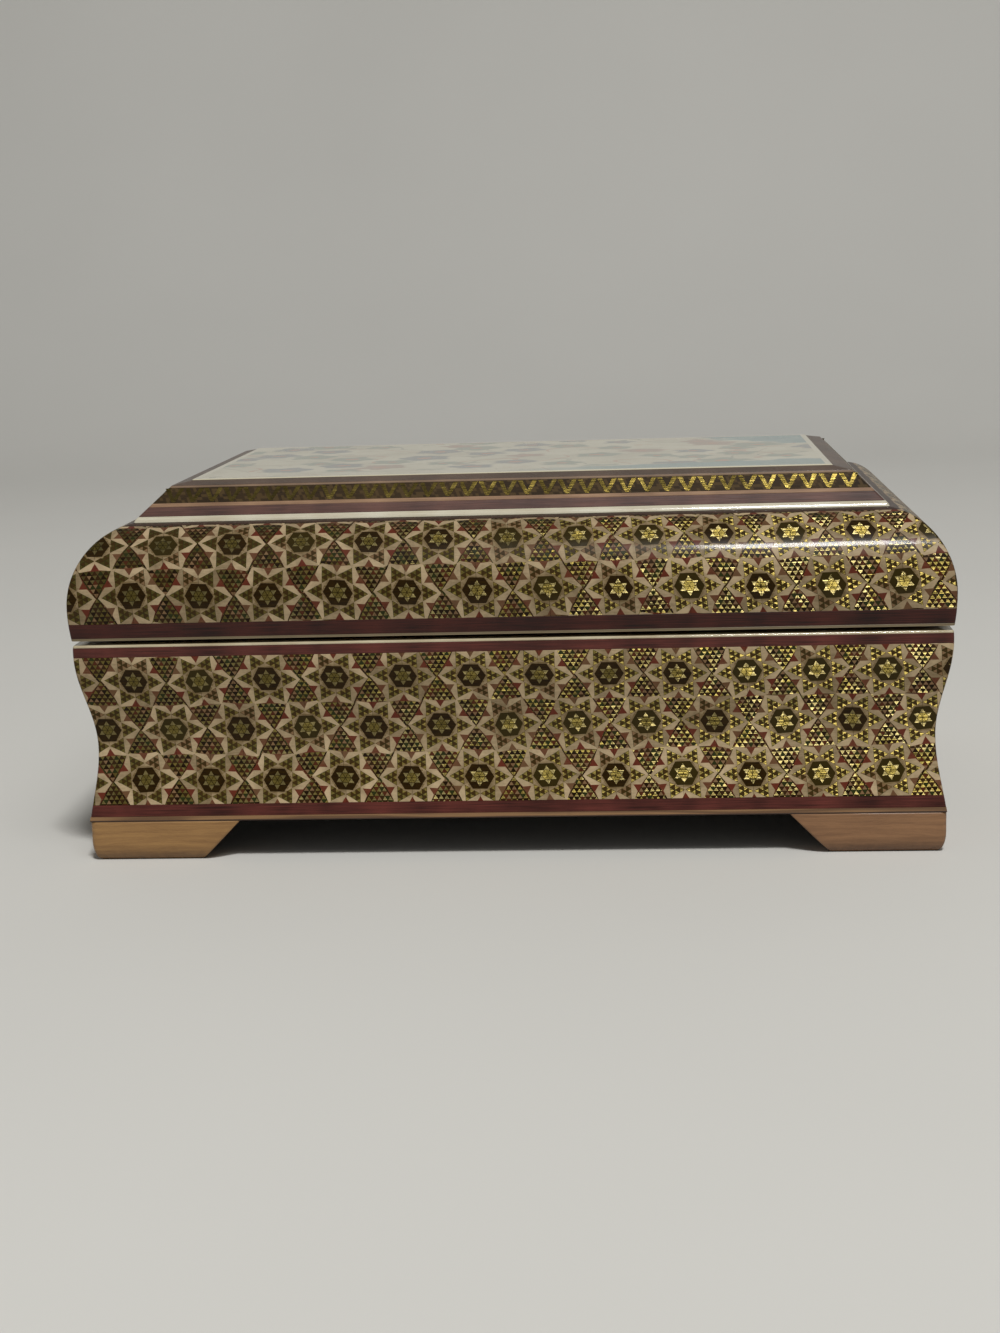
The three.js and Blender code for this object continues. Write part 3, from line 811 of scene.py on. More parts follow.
def sideFaces(outer, inner, length, depth, turn, capped, points, faces, maps):
    # one mitred side, with a rounded corner at each end of its outer face
    rounding = sizes["cornerRound"]
    first = rounding * (1 - math.sqrt(0.5))
    steps = [first + (rounding - first) * i / 4 for i in range(5)]
    outerArc = arcs(outer)
    innerArc = [outerArc[min(i, len(outerArc) - 1)] for i in range(len(inner))]
    profile = [(p, a, True) for p, a in zip(outer, outerArc)]
    profile += [(p, a, False) for p, a in zip(reversed(inner), reversed(innerArc))]
    stations = []
    for end, order in ((-1, steps), (1, list(reversed(steps)))):
        for s in order:
            drop = rounding - math.sqrt(max(0.0, rounding ** 2 - (rounding - s) ** 2))
            row = []
            for p, arc, isOuter in profile:
                back = s if isOuter else s - first
                depthIn = drop if isOuter else 0.0
                x = end * (length / 2 - p.x - back)
                y = -(depth / 2 - p.x - depthIn)
                row.append(((x, y, p.y), (x, arc)))
            stations.append(row)
    base = len(points)
    count = len(profile)
    for row in stations:
        for (x, y, z), _ in row:
            for _ in range(turn):
                x, y = -y, x
            points.append((x, y, z))
    for s in range(len(stations) - 1):
        for i in range(count):
            j = (i + 1) % count
            corners = [(s, i), (s + 1, i), (s + 1, j), (s, j)]
            faces.append([base + a * count + b for a, b in corners])
            maps.append([stations[a][b][1] for a, b in corners])
    if capped:
        for s in (0, len(stations) - 1):
            faces.append([base + s * count + i for i in range(count)])
            maps.append([stations[s][i][1] for i in range(count)])


def worn(outer):
    # the two edges of a strip's face, eased by a small arris
    ease = sizes["arris"]
    line = list(outer)
    first = (line[1] - line[0]).normalized()
    last = (line[-1] - line[-2]).normalized()
    start = [line[0] + Vector((first.y, -first.x)) * ease, line[0] + first * ease]
    finish = [line[-1] - last * ease, line[-1] + Vector((last.y, -last.x)) * ease]
    return start + line[1:-1] + finish


def roundedTop(outer, size):
    # the upper outside edge, rounded over
    edge = outer[-1]
    line = [p for p in outer if p.y < edge.y - size]
    for i in range(6):
        turn = math.pi / 2 * i / 5
        line.append(edge + Vector((size * (1 - math.cos(turn)), size * (math.sin(turn) - 1))))
    return line


def bulged(first, last, height, count=8):
    # a band whose face stands up a little along its middle
    way = last - first
    outward = Vector((-way.y, way.x)).normalized()
    shares = [i / count for i in range(count + 1)]
    return [first + way * t + outward * (height * 4 * t * (1 - t)) for t in shares]


def veneerSides(name, outer, inner, material, body, slot):
    # four mitred veneers, one on each side
    for side, (turn, length, depth) in sides.items():
        points, faces, maps = [], [], []
        sideFaces(worn(outer), inner, sizes[length], sizes[depth], turn, True, points, faces, maps)
        node = name + "_" + side
        piece = meshObject("veneer_" + node, points, faces, maps)
        piece.data.materials.append(material)
        finishPiece(piece, body, slot, node)


def veneerRing(node, outer, inner, material, body, slot, cutters=()):
    # one strip right round the box
    points, faces, maps = [], [], []
    for turn, length, depth in sides.values():
        sideFaces(worn(outer), inner, sizes[length], sizes[depth], turn, False, points, faces, maps)
    piece = meshObject("strip_" + node, points, faces, maps)
    piece.data.materials.append(material)
    for makeCutter in cutters:
        cutAway(piece, makeCutter())
    finishPiece(piece, body, slot, node)


def finishPiece(piece, body, slot, *nodes):
    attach(piece, body)
    if nodes:
        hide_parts(*nodes)
    return piece


def bake(piece):
    # what the modifiers give becomes the piece's own mesh
    graph = bpy.context.evaluated_depsgraph_get()
    mesh = bpy.data.meshes.new_from_object(piece.evaluated_get(graph))
    piece.modifiers.clear()
    piece.data = mesh


def cutAway(piece, cutter):
    cut = piece.modifiers.new("cut", "BOOLEAN")
    cut.operation = "DIFFERENCE"
    cut.solver = "EXACT"
    cut.object = cutter
    bake(piece)
    bpy.data.objects.remove(cutter)


def easeEdges(piece, width, segments=2, angle=40):
    ease = piece.modifiers.new("ease", "BEVEL")
    ease.width = width * mm
    ease.segments = segments
    ease.limit_method = "ANGLE"
    ease.angle_limit = math.radians(angle)
    bake(piece)


def prism(name, outline, low, high):
    # a closed outline of (x, y), drawn up from low to high
    count = len(outline)
    points = [(x, y, z) for z in (low, high) for x, y in outline]
    faces = [[i, (i + 1) % count, count + (i + 1) % count, count + i] for i in range(count)]
    faces += [list(range(count))[::-1], list(range(count, 2 * count))]
    maps = [[(points[i][0], points[i][1]) for i in face] for face in faces]
    return meshObject(name, points, faces, maps)


def lieAlong(piece, matrix):
    piece.data.transform(matrix)
    return piece


# Veneers and strips of the case and the lid

materials = {key: stripMaterial("strip_" + key, shades) for key, shades in stripLook.items()}
caseField = heights("case_khatam_front")
lidField = heights("lid_khatam_front")
caseLine = caseCurve(*caseField)
domeLine = lidSwell(lidField[0], widest)[:-1] + domeCurve()
domeArc = arcs(domeLine)[-1]

# where the stars stand on the veneers: spacing, height between rows, one star's place, and the lean
caseLayout = {"spacing": 15.52, "rows": 12.1, "u": 8.15, "v": 5.6, "lean": 0.042, "dull": 0.4,
              "brassRoughness": 0.36}
# the dome's share of dark colour all over is painted shade
domeLayout = {"spacing": 15.74, "rows": 12.45, "u": 9.51, "v": 6.2, "lean": 0.073, "dull": -0.1,
              "edge": domeArc - 2.2, "stainAndShade": 0.20, "brassRoughness": 0.30}
caseMosaic = khatamMaterial("khatam_case", caseLayout)
domeMosaic = khatamMaterial("khatam_dome", domeLayout)


def shifted(points, distance):
    return [Vector((p.x + distance, p.y)) for p in points]


def domeCore():
    # the inner face of the dome's veneer
    swell = lidSwell(lidField[0], widest)[:-1]
    curve = domeCurve()
    tops = topCorners()
    deeper = inward(curve + tops[1:2], sizes["veneer"])[:len(curve)]
    deeper[0] = Vector((curve[0].x + sizes["veneer"], curve[0].y))
    return shifted(swell, sizes["veneer"]) + deeper


veneerSides("case_khatam", caseLine, shifted(caseLine, sizes["veneer"]), caseMosaic, "case", "khatam_mosaic")
veneerSides("lid_khatam", domeLine, domeCore(), domeMosaic, "lid", "khatam_mosaic")
print("mosaic laid")

hinge = {
    "spacing": 110.0,
    "grooveRadius": 1.5,
    "grooveLength": 20.6,
    "planed": 105.0,  # how far round the pin the lid's back edge is planed off
    "planeReach": 4.8,
    "screwSpacing": 12.0,
    "screwFromPin": 4.8,
}
pinLow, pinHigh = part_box("hinge_left_pin")
pinY = (pinLow.y + pinHigh.y) / 2 / mm
pinZ = (pinLow.z + pinHigh.z) / 2 / mm
# turns an outline drawn from above into a section that runs along the box
sectionTurn = Matrix(((0, 0, 1, 0), (1, 0, 0, 0), (0, 1, 0, 0), (0, 0, 0, 1)))


def grooves():
    # the knuckles of both hinges lie in these
    radius, half = hinge["grooveRadius"], hinge["grooveLength"] / 2
    angles = [2 * math.pi * i / 32 for i in range(32)]
    outline = [(pinY + radius * math.cos(a), pinZ + radius * math.sin(a)) for a in angles]
    pair = []
    for side in (-1, 1):
        centre = side * hinge["spacing"] / 2
        pair.append(lieAlong(prism("groove", outline, centre - half, centre + half), sectionTurn))
    with bpy.context.temp_override(active_object=pair[0], selected_editable_objects=pair):
        bpy.ops.object.join()
    return pair[0]


def planing():
    # the back edge of the lid is planed off to meet the case's edge when it stands open
    edgeAngle = math.atan2(pinZ - rim, sizes["depth"] / 2 - pinY - caseInset(rim))
    angle = math.radians(hinge["planed"]) - edgeAngle
    reach = hinge["planeReach"]
    outline = [(0, 0), (reach, 0), (reach * math.cos(angle), reach * math.sin(angle))]
    outline = [(pinY + a, pinZ + b) for a, b in outline]
    half = sizes["length"] / 2
    return lieAlong(prism("planing", outline, -half, half), sectionTurn)


for node, curve, shade, body, cutters in (
    ("case_lower_red_strip", caseCurve, "red", "case", ()),
    ("case_upper_red_strip", caseCurve, "red", "case", (grooves,)),
    ("lid_red_strip", lidSwell, "lidRed", "lid", (planing, grooves)),
):
    outer = curve(*heights(node))
    inner = shifted(outer, sizes["veneer"])
    veneerRing(node, outer, inner, materials[shade], body, "red_strip_wood", cutters)
for node, curve, shade, body, cutters in (
    ("case_rim_bone_line", caseCurve, "rim", "case", (grooves,)),
    ("lid_rim_bone_line", lidSwell, "lidRim", "lid", (planing, grooves)),
):
    low, high = heights(node)
    edging = sizes["edgingInset"]
    inner = [Vector((edging, low)), Vector((edging, high))]
    outer = curve(low, high, 0.3)
    if body == "case":
        outer = roundedTop(outer, sizes["rimRound"])
    veneerRing(node, outer, inner, materials[shade], body, "bone_inlay", cutters)

tops = topCorners()
topInner = inward([domeCurve()[-2]] + tops, sizes["veneer"])[1:]
topInner[-1] = Vector((tops[-1].x, heights("picture_panel")[0]))
stripMaterials = {
    "lid_bone_band": ("bone", "bone_inlay"),
    "bevel_red_strip": ("bevelRed", "red_strip_wood"),
    "bevel_light_line": ("light", "light_line_wood"),
    "bevel_zigzag_strip": ("zigzag", "zigzag_mosaic"),
    "bevel_top_line": ("topLine", "light_line_wood"),
    "picture_frame_strip": ("frame", "frame_wood"),
}
for i, node in enumerate(topStrips):
    key, slot = stripMaterials[node]
    outer = tops[i:i + 2]
    if node == "lid_bone_band":
        outer = bulged(*outer, sizes["bandBulge"])
    veneerRing(node, outer, topInner[i:i + 2], materials[key], "lid", slot)
print("strips laid")

# Plain woods on the frame's own solids

woods = {
    "coreX": woodMaterial("core_wood_x", srgb(128, 88, 56), srgb(88, 56, 34), srgb(50, 30, 18), 0),
    "coreY": woodMaterial("core_wood_y", srgb(128, 88, 56), srgb(88, 56, 34), srgb(50, 30, 18), 1),
    "floor": boardMaterial("floor_wood", srgb(136, 102, 66), srgb(96, 68, 42), srgb(54, 34, 20), srgb(34, 24, 16)),
}
brass = brassMaterial("hinge_brass")
velvet = velvetMaterial("velvet")
bone = materials["bone"]


def assign(node, material):
    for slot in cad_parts[node].material_slots:
        slot.material = material


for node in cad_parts:
    if node.startswith(("case_wall", "lid_rail")):
        assign(node, woods["coreX" if node.endswith(("front", "back")) else "coreY"])
    elif node == "raised_board":
        assign(node, woods["coreX"])
    elif node == "floor_board":
        assign(node, woods["floor"])
    elif node.startswith("hinge") and "screw" not in node:
        assign(node, brass)

# Bracket feet

footLook = {
    "thickness": 6.0,
    "topLength": 35.3,
    "soleLength": 26.0,
    "cornerRound": 1.3,
    "roundAcross": 2.2,  # the outer bottom edge
    "roundUp": 4.6,
    "ease": 0.35,
}


def makeFoot(name, signX, signY, values, material):
    inset = caseInset(caseBottom)
    top = heights(name)[1]
    profile = []
    for i in range(9):
        turn = math.pi / 2 * i / 8
        profile.append((values["roundAcross"] * (1 - math.sin(turn)), values["roundUp"] * (1 - math.cos(turn))))
    profile += [(0.0, top), (values["thickness"], top), (values["thickness"], 0.0)]
    around = arcs([Vector(p) for p in profile])
    corner = values["cornerRound"]

    def reach(z):
        return values["soleLength"] + (values["topLength"] - values["soleLength"]) * z / top

    def plan(station, d, z):
        # the place seen from above, measured from the corner
        kind, share = station
        if kind == "x":
            return max(d, corner) + (reach(z) - max(d, corner)) * share, d
        if kind == "y":
            return d, max(d, corner) + (reach(z) - max(d, corner)) * share
        if d >= corner:
            return d, d
        turn = math.pi / 2 * share
        return corner - (corner - d) * math.sin(turn), corner - (corner - d) * math.cos(turn)

    stations = [("x", 1.0), ("x", 0.5), ("x", 0.0)]
    stations += [("corner", i / 6) for i in range(1, 6)]
    stations += [("y", 0.0), ("y", 0.5), ("y", 1.0)]
    points, faces, maps = [], [], []
    count = len(profile)
    for station in stations:
        for (d, z), arc in zip(profile, around):
            a, b = plan(station, d, z)
            x = signX * (sizes["length"] / 2 - inset - a)
            y = signY * (sizes["depth"] / 2 - inset - b)
            points.append((x, y, z))
            maps.append((a - b, arc))
    for s in range(len(stations) - 1):
        for i in range(count):
            j = (i + 1) % count
            faces.append([s * count + i, (s + 1) * count + i, (s + 1) * count + j, s * count + j])
    last = (len(stations) - 1) * count
    faces += [list(range(count)), [last + i for i in range(count)]]
    piece = meshObject(name + "_bracket", points, faces, [[maps[i] for i in face] for face in faces])
    easeEdges(piece, values["ease"])
    piece.data.materials.append(material)
    finishPiece(piece, "case", "foot_wood", name)


def footMaterial(name, light, dark, lines):
    # pale wood whose grain runs along each leg of a foot
    material, shader, field = newMaterial(name, {"Coat Weight": 0.15, "Coat Roughness": 0.2})
    along, across = surfacePlace(field)
    sway = noise(field, joinVector(field, along * 0.06, across * 0.3), 1.0, 2.0, 0.5)
    rows = across + sway * 2.5
    bands = noise(field, joinVector(field, along * 0.035, rows * 0.75), 1.3, 3.0, 0.6)
    fibres = noise(field, joinVector(field, along * 0.35, rows * 5.0), 1.6, 3.0, 0.6)
    shade = (bands * 0.7 + fibres * 0.3).step(0.25, 0.75).blend(dark, light)
    pores = noise(field, joinVector(field, along * 0.5, rows * 7.0), 2.0, 2.0, 0.6).step(0.66, 0.76)
    shade = (pores * 0.45).blend(shade, lines)
    # darker in patches along the rounded bottom edge
    darkening = across.step(4.5, 1.0) * noise(field, joinVector(field, along, across), 0.5, 3.0, 0.6)
    shade = (darkening * 0.9).blend(shade, lines)
    feed(shader, {
        "Base Color": shade,
        "Roughness": fibres.blend(0.45, 0.62),
        "Normal": bump(field, fibres + bands, 0.15, 0.0004),
    })
    return material


footWoods = {  # the right feet are of a browner piece of wood
    -1: footMaterial("foot_wood", srgb(166, 126, 74), srgb(126, 90, 50), srgb(72, 46, 25)),
    1: footMaterial("foot_wood_right", srgb(150, 110, 74), srgb(112, 78, 50), srgb(68, 42, 27)),
}
for name, signX, signY in (
    ("foot_front_left", -1, -1),
    ("foot_front_right", 1, -1),
    ("foot_back_right", 1, 1),
    ("foot_back_left", -1, 1),
):
    makeFoot(name, signX, signY, footLook, footWoods[signX])
print("feet made")

# Velvet linings and pads

liningLook = {"outside": 11.0, "inside": 12.2, "round": 0.5, "ripple": 0.12}


def makeLinings(group, body, values, material):
    low, high = heights(group + "_front")
    size = values["round"]
    inner = []
    for i in range(5):
        turn = math.pi / 2 * i / 4
        inner.append(Vector((values["inside"] - size + size * math.sin(turn), low + size * (1 - math.cos(turn)))))
    inner += [Vector((values["inside"], z)) for z in spread(low + size, high - size, 2.0)[1:-1]]
    for i in range(5):
        turn = math.pi / 2 * i / 4
        inner.append(Vector((values["inside"] - size + size * math.cos(turn), high - size + size * math.sin(turn))))
    outer = [Vector((values["outside"], low)), Vector((values["outside"], high))]
    for side, (turn, length, depth) in sides.items():
        points, faces, maps = [], [], []
        sideFaces(outer, inner, sizes[length], sizes[depth], turn, True, points, faces, maps)
        node = group + "_" + side
        piece = meshObject("velvet_" + node, points, faces, maps)
        piece.data.materials.append(material)
        finishPiece(piece, body, "velvet", node)


makeLinings("case_lining", "case", liningLook, velvet)
makeLinings("lid_lining", "lid", liningLook, velvet)

padLook = {
    "cell": 3.0,
    "start": 0.9,  # the pad starts this much thinner and is blown up
    "rise": 0.8,
    "corner": 2.0,
    "edge": 0.9,
    "pressure": 4.0,
    "frames": 20,
}


def padMesh(name, values, up):
    # a thin closed slab of square cells; its flat face lies down, or up in the lid
    low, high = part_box(name)
    halfX, halfY = high.x / mm, high.y / mm
    thick = (high.z - low.z) / mm - values["start"]
    base = low.z / mm if up else high.z / mm
    way = 1 if up else -1
    columns = spread(-halfX, halfX, values["cell"])
    rows = spread(-halfY, halfY, values["cell"])

    def place(x, y, level):
        # pulls the outline in near the top and rounds the corners off
        shrink = values["edge"] * (1 - math.sqrt(max(0.0, 1 - level ** 2)))
        limitX, limitY = halfX - shrink, halfY - shrink
        x = x * limitX / halfX
        y = y * limitY / halfY
        cornerX = max(0.0, abs(x) - (limitX - values["corner"]))
        cornerY = max(0.0, abs(y) - (limitY - values["corner"]))
        reach = math.hypot(cornerX, cornerY)
        if reach > values["corner"]:
            pull = values["corner"] / reach
            x = math.copysign(limitX - values["corner"] + cornerX * pull, x)
            y = math.copysign(limitY - values["corner"] + cornerY * pull, y)
        return x, y, base + way * thick * level

    points, faces = [], []
    across = len(columns)
    for level in (0.0, 1.0):
        for y in rows:
            points += [place(x, y, level) for x in columns]
    layer = across * len(rows)
    for r in range(len(rows) - 1):
        for c in range(across - 1):
            start = r * across + c
            face = [start, start + 1, start + across + 1, start + across]
            faces += [face[::-1], [layer + i for i in face]]
    rimPoints = [c for c in range(across)]
    rimPoints += [r * across + across - 1 for r in range(1, len(rows))]
    rimPoints += [(len(rows) - 1) * across + c for c in range(across - 2, -1, -1)]
    rimPoints += [r * across for r in range(len(rows) - 2, 0, -1)]
    previous = rimPoints
    levels = [0.35, 0.7, 0.9]
    for level in levels + [None]:
        if level is None:
            following = [layer + i for i in rimPoints]
        else:
            following = []
            for i in rimPoints:
                x, y = columns[i % across], rows[i // across]
                following.append(len(points))
                points.append(place(x, y, level))
        for k in range(len(rimPoints)):
            n = (k + 1) % len(rimPoints)
            faces.append([previous[k], previous[n], following[n], following[k]])
        previous = following
    maps = [[(points[i][0], points[i][1]) for i in face] for face in faces]
    piece = meshObject("velvet_" + name, points, faces, maps, 80)
    flat = piece.vertex_groups.new(name="flat")
    held = [v.index for v in piece.data.vertices if abs(v.co.z / mm - base) < 0.5 * thick]
    flat.add(held, 1.0, "REPLACE")
    return piece


def blowUp(piece, values):
    # cloth filled with air from inside, held on its flat face
    scene = bpy.context.scene
    cloth = piece.modifiers.new("cloth", "CLOTH")
    cloth.settings.quality = 6
    cloth.settings.mass = 0.1
    cloth.settings.use_pressure = True
    cloth.settings.uniform_pressure_force = values["pressure"]
    cloth.settings.effector_weights.gravity = 0
    cloth.settings.vertex_group_mass = "flat"
    before = [v.co.copy() for v in piece.data.vertices]
    for number in range(1, values["frames"] + 1):
        scene.frame_set(number)
    graph = bpy.context.evaluated_depsgraph_get()
    blown = [v.co.copy() for v in piece.evaluated_get(graph).data.vertices]
    piece.modifiers.clear()
    scene.frame_set(1)
    limit = values["rise"] * mm
    for vertex, old, new in zip(piece.data.vertices, before, blown):
        move = new - old
        if move.length > 0:
            move *= limit * math.tanh(move.length / limit) / move.length
        vertex.co = old + move


def makePad(name, body, up, values, material):
    piece = padMesh(name, values, up)
    blowUp(piece, values)
    smooth = piece.modifiers.new("smooth", "SUBSURF")
    smooth.levels = smooth.render_levels = 1
    bake(piece)
    piece.vertex_groups.clear()
    piece.data.materials.clear()
    piece.data.materials.append(material)
    finishPiece(piece, body, "velvet", name)


makePad("floor_pad", "case", True, padLook, velvet)
makePad("lid_pad", "lid", False, padLook, velvet)
print("velvet laid")

# Geometry Nodes that place many copies of a small shape


def nodeTree(name, inputs):
    tree = bpy.data.node_groups.new(name, "GeometryNodeTree")
    tree.interface.new_socket("Geometry", in_out="INPUT", socket_type="NodeSocketGeometry")
    for title, kind in inputs.items():
        tree.interface.new_socket(title, in_out="INPUT", socket_type=kind)
    tree.interface.new_socket("Geometry", in_out="OUTPUT", socket_type="NodeSocketGeometry")
    entry = tree.nodes.new("NodeGroupInput")
    given = {socket.name: Field(tree, socket) for socket in entry.outputs if socket.name}
    return tree, Field(tree), given


def finishTree(field, instances, material):
    real = field.node("GeometryNodeRealizeInstances", {}, {0: instances})
    dressed = field.node("GeometryNodeSetMaterial", {}, {"Geometry": real, "Material": material})
    out = field.tree.nodes.new("NodeGroupOutput")
    field.tree.links.new(dressed.socket, out.inputs[0])


def runTree(piece, tree, values):
    nodes = piece.modifiers.new("nodes", "NODES")
    nodes.node_group = tree
    for item in tree.interface.items_tree:
        if item.item_type == "SOCKET" and item.in_out == "INPUT" and item.name in values:
            nodes[item.identifier] = values[item.name]
    bake(piece)


def followTree():
    # copies of a shape along a path, each turned along it and tilted about it
    tree, field, given = nodeTree("follow_path", {
        "Shape": "NodeSocketObject",
        "Spacing": "NodeSocketFloat",
        "Tilt": "NodeSocketFloat",
        "Seed": "NodeSocketInt",
        "Material": "NodeSocketMaterial",
    })
    curve = field.node("GeometryNodeMeshToCurve", {}, {"Mesh": given["Geometry"]})
    curve = field.node("GeometryNodeResampleCurve", {"mode": "LENGTH"}, {"Curve": curve, "Length": given["Spacing"]})
    tangent = field.node("GeometryNodeInputTangent")
    turn = field.node("FunctionNodeAlignRotationToVector", {"axis": "X", "pivot_axis": "Z"}, {"Vector": tangent})
    wobble = field.node("FunctionNodeRandomValue", {}, {2: -0.03, 3: 0.03, "Seed": given["Seed"]}, 1)
    lean = joinVector(field, given["Tilt"], 0.0, wobble)
    turn = field.node("FunctionNodeRotateRotation", {"rotation_space": "LOCAL"}, {0: turn, 1: lean})
    size = field.node("FunctionNodeRandomValue", {}, {2: 0.95, 3: 1.04, "Seed": given["Seed"] + 1}, 1)
    size = joinVector(field, size, 1.0, 1.0)
    shape = field.node("GeometryNodeObjectInfo", {}, {"Object": given["Shape"]}, 4)
    copies = field.node("GeometryNodeInstanceOnPoints", {}, {
        "Points": curve,
        "Instance": shape,
        "Rotation": turn,
        "Scale": size,
    })
    finishTree(field, copies, given["Material"])
    return tree


def scatterTree():
    # copies of a shape on points, each given a turn of its own
    tree, field, given = nodeTree("on_points", {
        "Shape": "NodeSocketObject",
        "Flip": "NodeSocketFloat",
        "Seed": "NodeSocketInt",
        "Material": "NodeSocketMaterial",
    })
    dots = field.node("GeometryNodeMeshToPoints", {}, {"Mesh": given["Geometry"]})
    spin = field.node("FunctionNodeRandomValue", {}, {2: 0.0, 3: math.pi, "Seed": given["Seed"]}, 1)
    turn = joinVector(field, given["Flip"], 0.0, spin)
    shape = field.node("GeometryNodeObjectInfo", {}, {"Object": given["Shape"]}, 4)
    copies = field.node("GeometryNodeInstanceOnPoints", {}, {"Points": dots, "Instance": shape, "Rotation": turn})
    finishTree(field, copies, given["Material"])
    return tree


def lineObject(name, points, edges):
    mesh = bpy.data.meshes.new(name)
    mesh.from_pydata([Vector(p) * mm for p in points], edges, [])
    made = bpy.data.objects.new(name, mesh)
    bpy.context.scene.collection.objects.link(made)
    return made


# Brass chevrons of the top band

chevronLook = {
    "spacing": 4.5,
    "halfWidth": 1.7,
    "halfHeight": 2.1,
    "arm": 1.12,
    "raised": 0.03,
    "depth": 0.25,
    "endGap": 3.2,
    "seed": 4,
}


def makeChevrons(values, material):
    halfWidth, halfHeight, arm = values["halfWidth"], values["halfHeight"], values["arm"] / 2
    outline = [
        (-halfWidth - arm, halfHeight),
        (-arm * 1.1, -halfHeight + arm * 0.7),
        (-arm * 0.6, -halfHeight),
        (arm * 0.6, -halfHeight),
        (arm * 1.1, -halfHeight + arm * 0.7),
        (halfWidth + arm, halfHeight),
        (halfWidth - arm, halfHeight),
        (arm * 0.2, -halfHeight + arm * 2.4),
        (-arm * 0.2, -halfHeight + arm * 2.4),
        (-halfWidth + arm, halfHeight),
    ]
    shape = prism("chevron", outline, -values["depth"], values["raised"])
    lower, upper = tops[3], tops[4]
    middle = (lower + upper) / 2
    points, edges = [], []
    for turn, length, depth in sides.values():
        end = sizes[length] / 2 - middle.x - values["endGap"]
        y = -(sizes[depth] / 2 - middle.x)
        for x in (-end, end):
            px, py = x, y
            for _ in range(turn):
                px, py = -py, px
            points.append((px, py, middle.y))
        edges.append((len(points) - 2, len(points) - 1))
    path = lineObject("chevron_inlay", points, edges)
    runTree(path, followTree(), {
        "Shape": shape,
        "Spacing": values["spacing"] * mm,
        "Tilt": math.radians(topStrips["bevel_zigzag_strip"][1]),
        "Seed": values["seed"],
        "Material": material,
    })
    bpy.data.objects.remove(shape)
    finishPiece(path, "lid", "zigzag_mosaic")


makeChevrons(chevronLook, inlayBrass("chevron_brass"))
print("chevrons laid")

# Hinge screws

screwLook = {
    "head": 1.0,
    "shank": 0.45,
    "countersink": 0.55,
    "length": 6.0,
    "slotWidth": 0.3,
    "slotDepth": 0.2,
    "seed": 11,
}


def makeScrewShape(values, turns=24):
    rings = [
        (values["head"] - 0.05, 0.0),
        (values["head"], -0.05),
        (values["shank"], -values["countersink"]),
        (values["shank"], 1.0 - values["length"]),
        (0.06, -values["length"]),
    ]
    points, faces = [], []
    for radius, z in rings:
        for i in range(turns):
            angle = 2 * math.pi * i / turns
            points.append((radius * math.cos(angle), radius * math.sin(angle), z))
    for r in range(len(rings) - 1):
        for i in range(turns):
            j = (i + 1) % turns
            faces.append([r * turns + i, r * turns + j, (r + 1) * turns + j, (r + 1) * turns + i])
    faces += [list(range(turns)), [(len(rings) - 1) * turns + i for i in range(turns)]]
    maps = [[(points[i][0], points[i][2]) for i in face] for face in faces]
    screw = meshObject("screw", points, faces, maps, 30)
    half, width = values["head"] + 0.2, values["slotWidth"] / 2
    slot = prism("slot", [(-half, -width), (half, -width), (half, width), (-half, width)], -values["slotDepth"], 0.3)
    cutAway(screw, slot)
    return screw


def makeScrews(part, body, values, flip, material):
    nodes = [f"hinge_{side}_{part}_screw_{i}" for side in ("left", "right") for i in (1, 2)]
    points = []
    for node in nodes:
        low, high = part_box(node)
        points.append(((low.x + high.x) / 2 / mm, (low.y + high.y) / 2 / mm, (low.z if flip else high.z) / mm))
    screws = lineObject("hinge_screws_" + body, points, [])
    shape = makeScrewShape(values)
    runTree(screws, scatterTree(), {
        "Shape": shape,
        "Flip": math.pi if flip else 0.0,
        "Seed": values["seed"] + (7 if flip else 0),
        "Material": material,
    })
    bpy.data.objects.remove(shape)
    finishPiece(screws, body, "hinge_brass", *nodes)


makeScrews("lower", "case", screwLook, False, brass)
makeScrews("upper", "lid", screwLook, True, brass)
print("screws driven")

panelLow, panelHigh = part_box("picture_panel")


def makePanel():
    halfX, halfY = panelHigh.x / mm, panelHigh.y / mm
    low, high = panelLow.z / mm, panelHigh.z / mm
    ease = 0.15
    levels = [(0.0, low), (0.0, high - ease), (ease, high)]
    points, faces, maps = [], [], []
    for inset, z in levels:
        for sx, sy in ((-1, -1), (1, -1), (1, 1), (-1, 1)):
            points.append((sx * (halfX - inset), sy * (halfY - inset), z))
    for level in range(2):
        for i in range(4):
            j = (i + 1) % 4
            faces.append([level * 4 + i, level * 4 + j, level * 4 + 4 + j, level * 4 + 4 + i])
    faces += [[3, 2, 1, 0], [8, 9, 10, 11]]
    for face in faces:
        maps.append([(points[i][0], points[i][1]) for i in face])
    piece = meshObject("picture_sheet", points, faces, maps)
    piece.data.materials.append(panelMaterial("picture_sheet", halfX, halfY))
    finishPiece(piece, "lid", "picture_sheet", "picture_panel")


makePanel()
print("top panel made")

# Stage and light

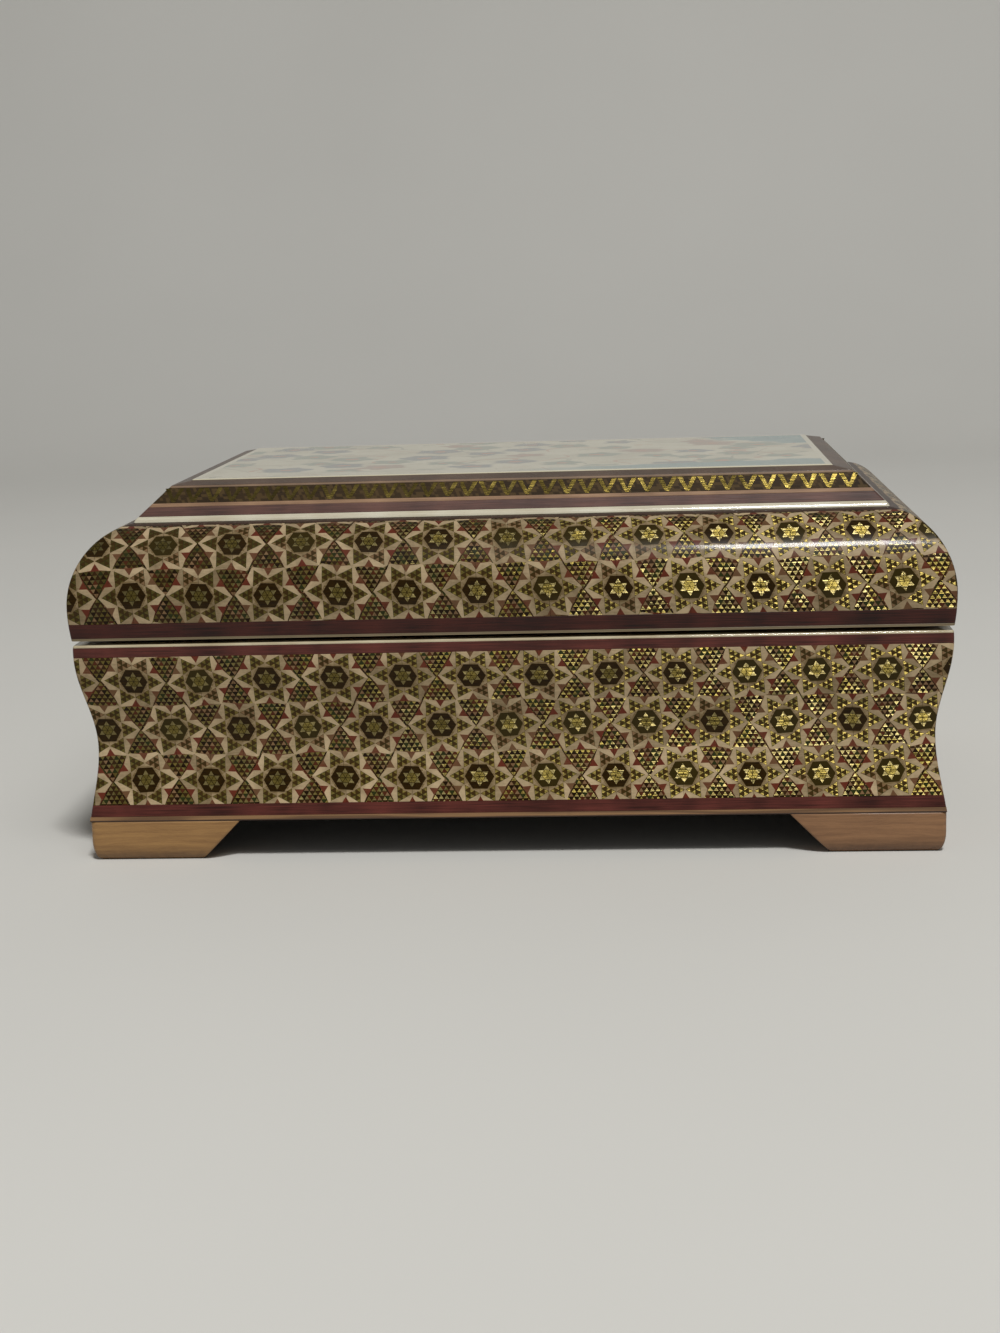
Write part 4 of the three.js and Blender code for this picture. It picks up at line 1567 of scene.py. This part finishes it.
stageLook = {"floor": srgb(206, 205, 201), "size": 6.0, "rise": 3.0, "bend": 0.5, "distance": 0.9}


def makeStage(values):
    # a floor that curves up into a backdrop
    outline = [(-values["size"], 0.0), (values["distance"], 0.0)]
    for i in range(1, 13):
        turn = math.pi / 2 * i / 12
        outline.append((values["distance"] + values["bend"] * math.sin(turn), values["bend"] * (1 - math.cos(turn))))
    outline.append((values["distance"] + values["bend"], values["rise"]))
    points = [(x, y, z) for y, z in outline for x in (-values["size"], values["size"])]
    faces = [[2 * i, 2 * i + 1, 2 * i + 3, 2 * i + 2] for i in range(len(outline) - 1)]
    mesh = bpy.data.meshes.new("stage")
    mesh.from_pydata(points, [], faces)
    mesh.shade_smooth()
    stage = bpy.data.objects.new("stage", mesh)
    bpy.context.scene.collection.objects.link(stage)
    material, shader, field = newMaterial("stage", {"Roughness": 0.9})
    place = field.node("ShaderNodeTexCoord", {}, {}, 3)
    cloth = noise(field, place, 3.0, 3.0, 0.5)
    feed(shader, {"Base Color": cloth.blend(values["floor"], srgb(196, 195, 191))})
    mesh.materials.append(material)


def areaLight(name, place, target, width, height, power, tint=(1, 1, 1)):
    data = bpy.data.lights.new(name, "AREA")
    data.shape = "RECTANGLE"
    data.size, data.size_y = width, height
    data.energy = power
    data.color = tint
    light = bpy.data.objects.new(name, data)
    light.location = place
    light.rotation_euler = (Vector(target) - Vector(place)).to_track_quat("-Z", "Y").to_euler()
    bpy.context.scene.collection.objects.link(light)


makeStage(stageLook)
areaLight("ceiling_lamp", (0.33, -1.16, 2.0), (0, 0, 0.05), 0.33, 0.24, 36.0, (1.0, 0.995, 0.975))
areaLight("lamp_glow", (0.60, -1.20, 1.95), (0, 0, 0.05), 1.0, 0.9, 9.0, (1.0, 0.985, 0.95))
world = bpy.data.worlds.new("world")
world.use_nodes = True
world.node_tree.nodes["Background"].inputs["Color"].default_value = (1.0, 0.99, 0.96, 1.0)
world.node_tree.nodes["Background"].inputs["Strength"].default_value = 0.20
bpy.context.scene.world = world
bpy.context.scene.view_settings.view_transform = "Standard"
print("stage and light set")
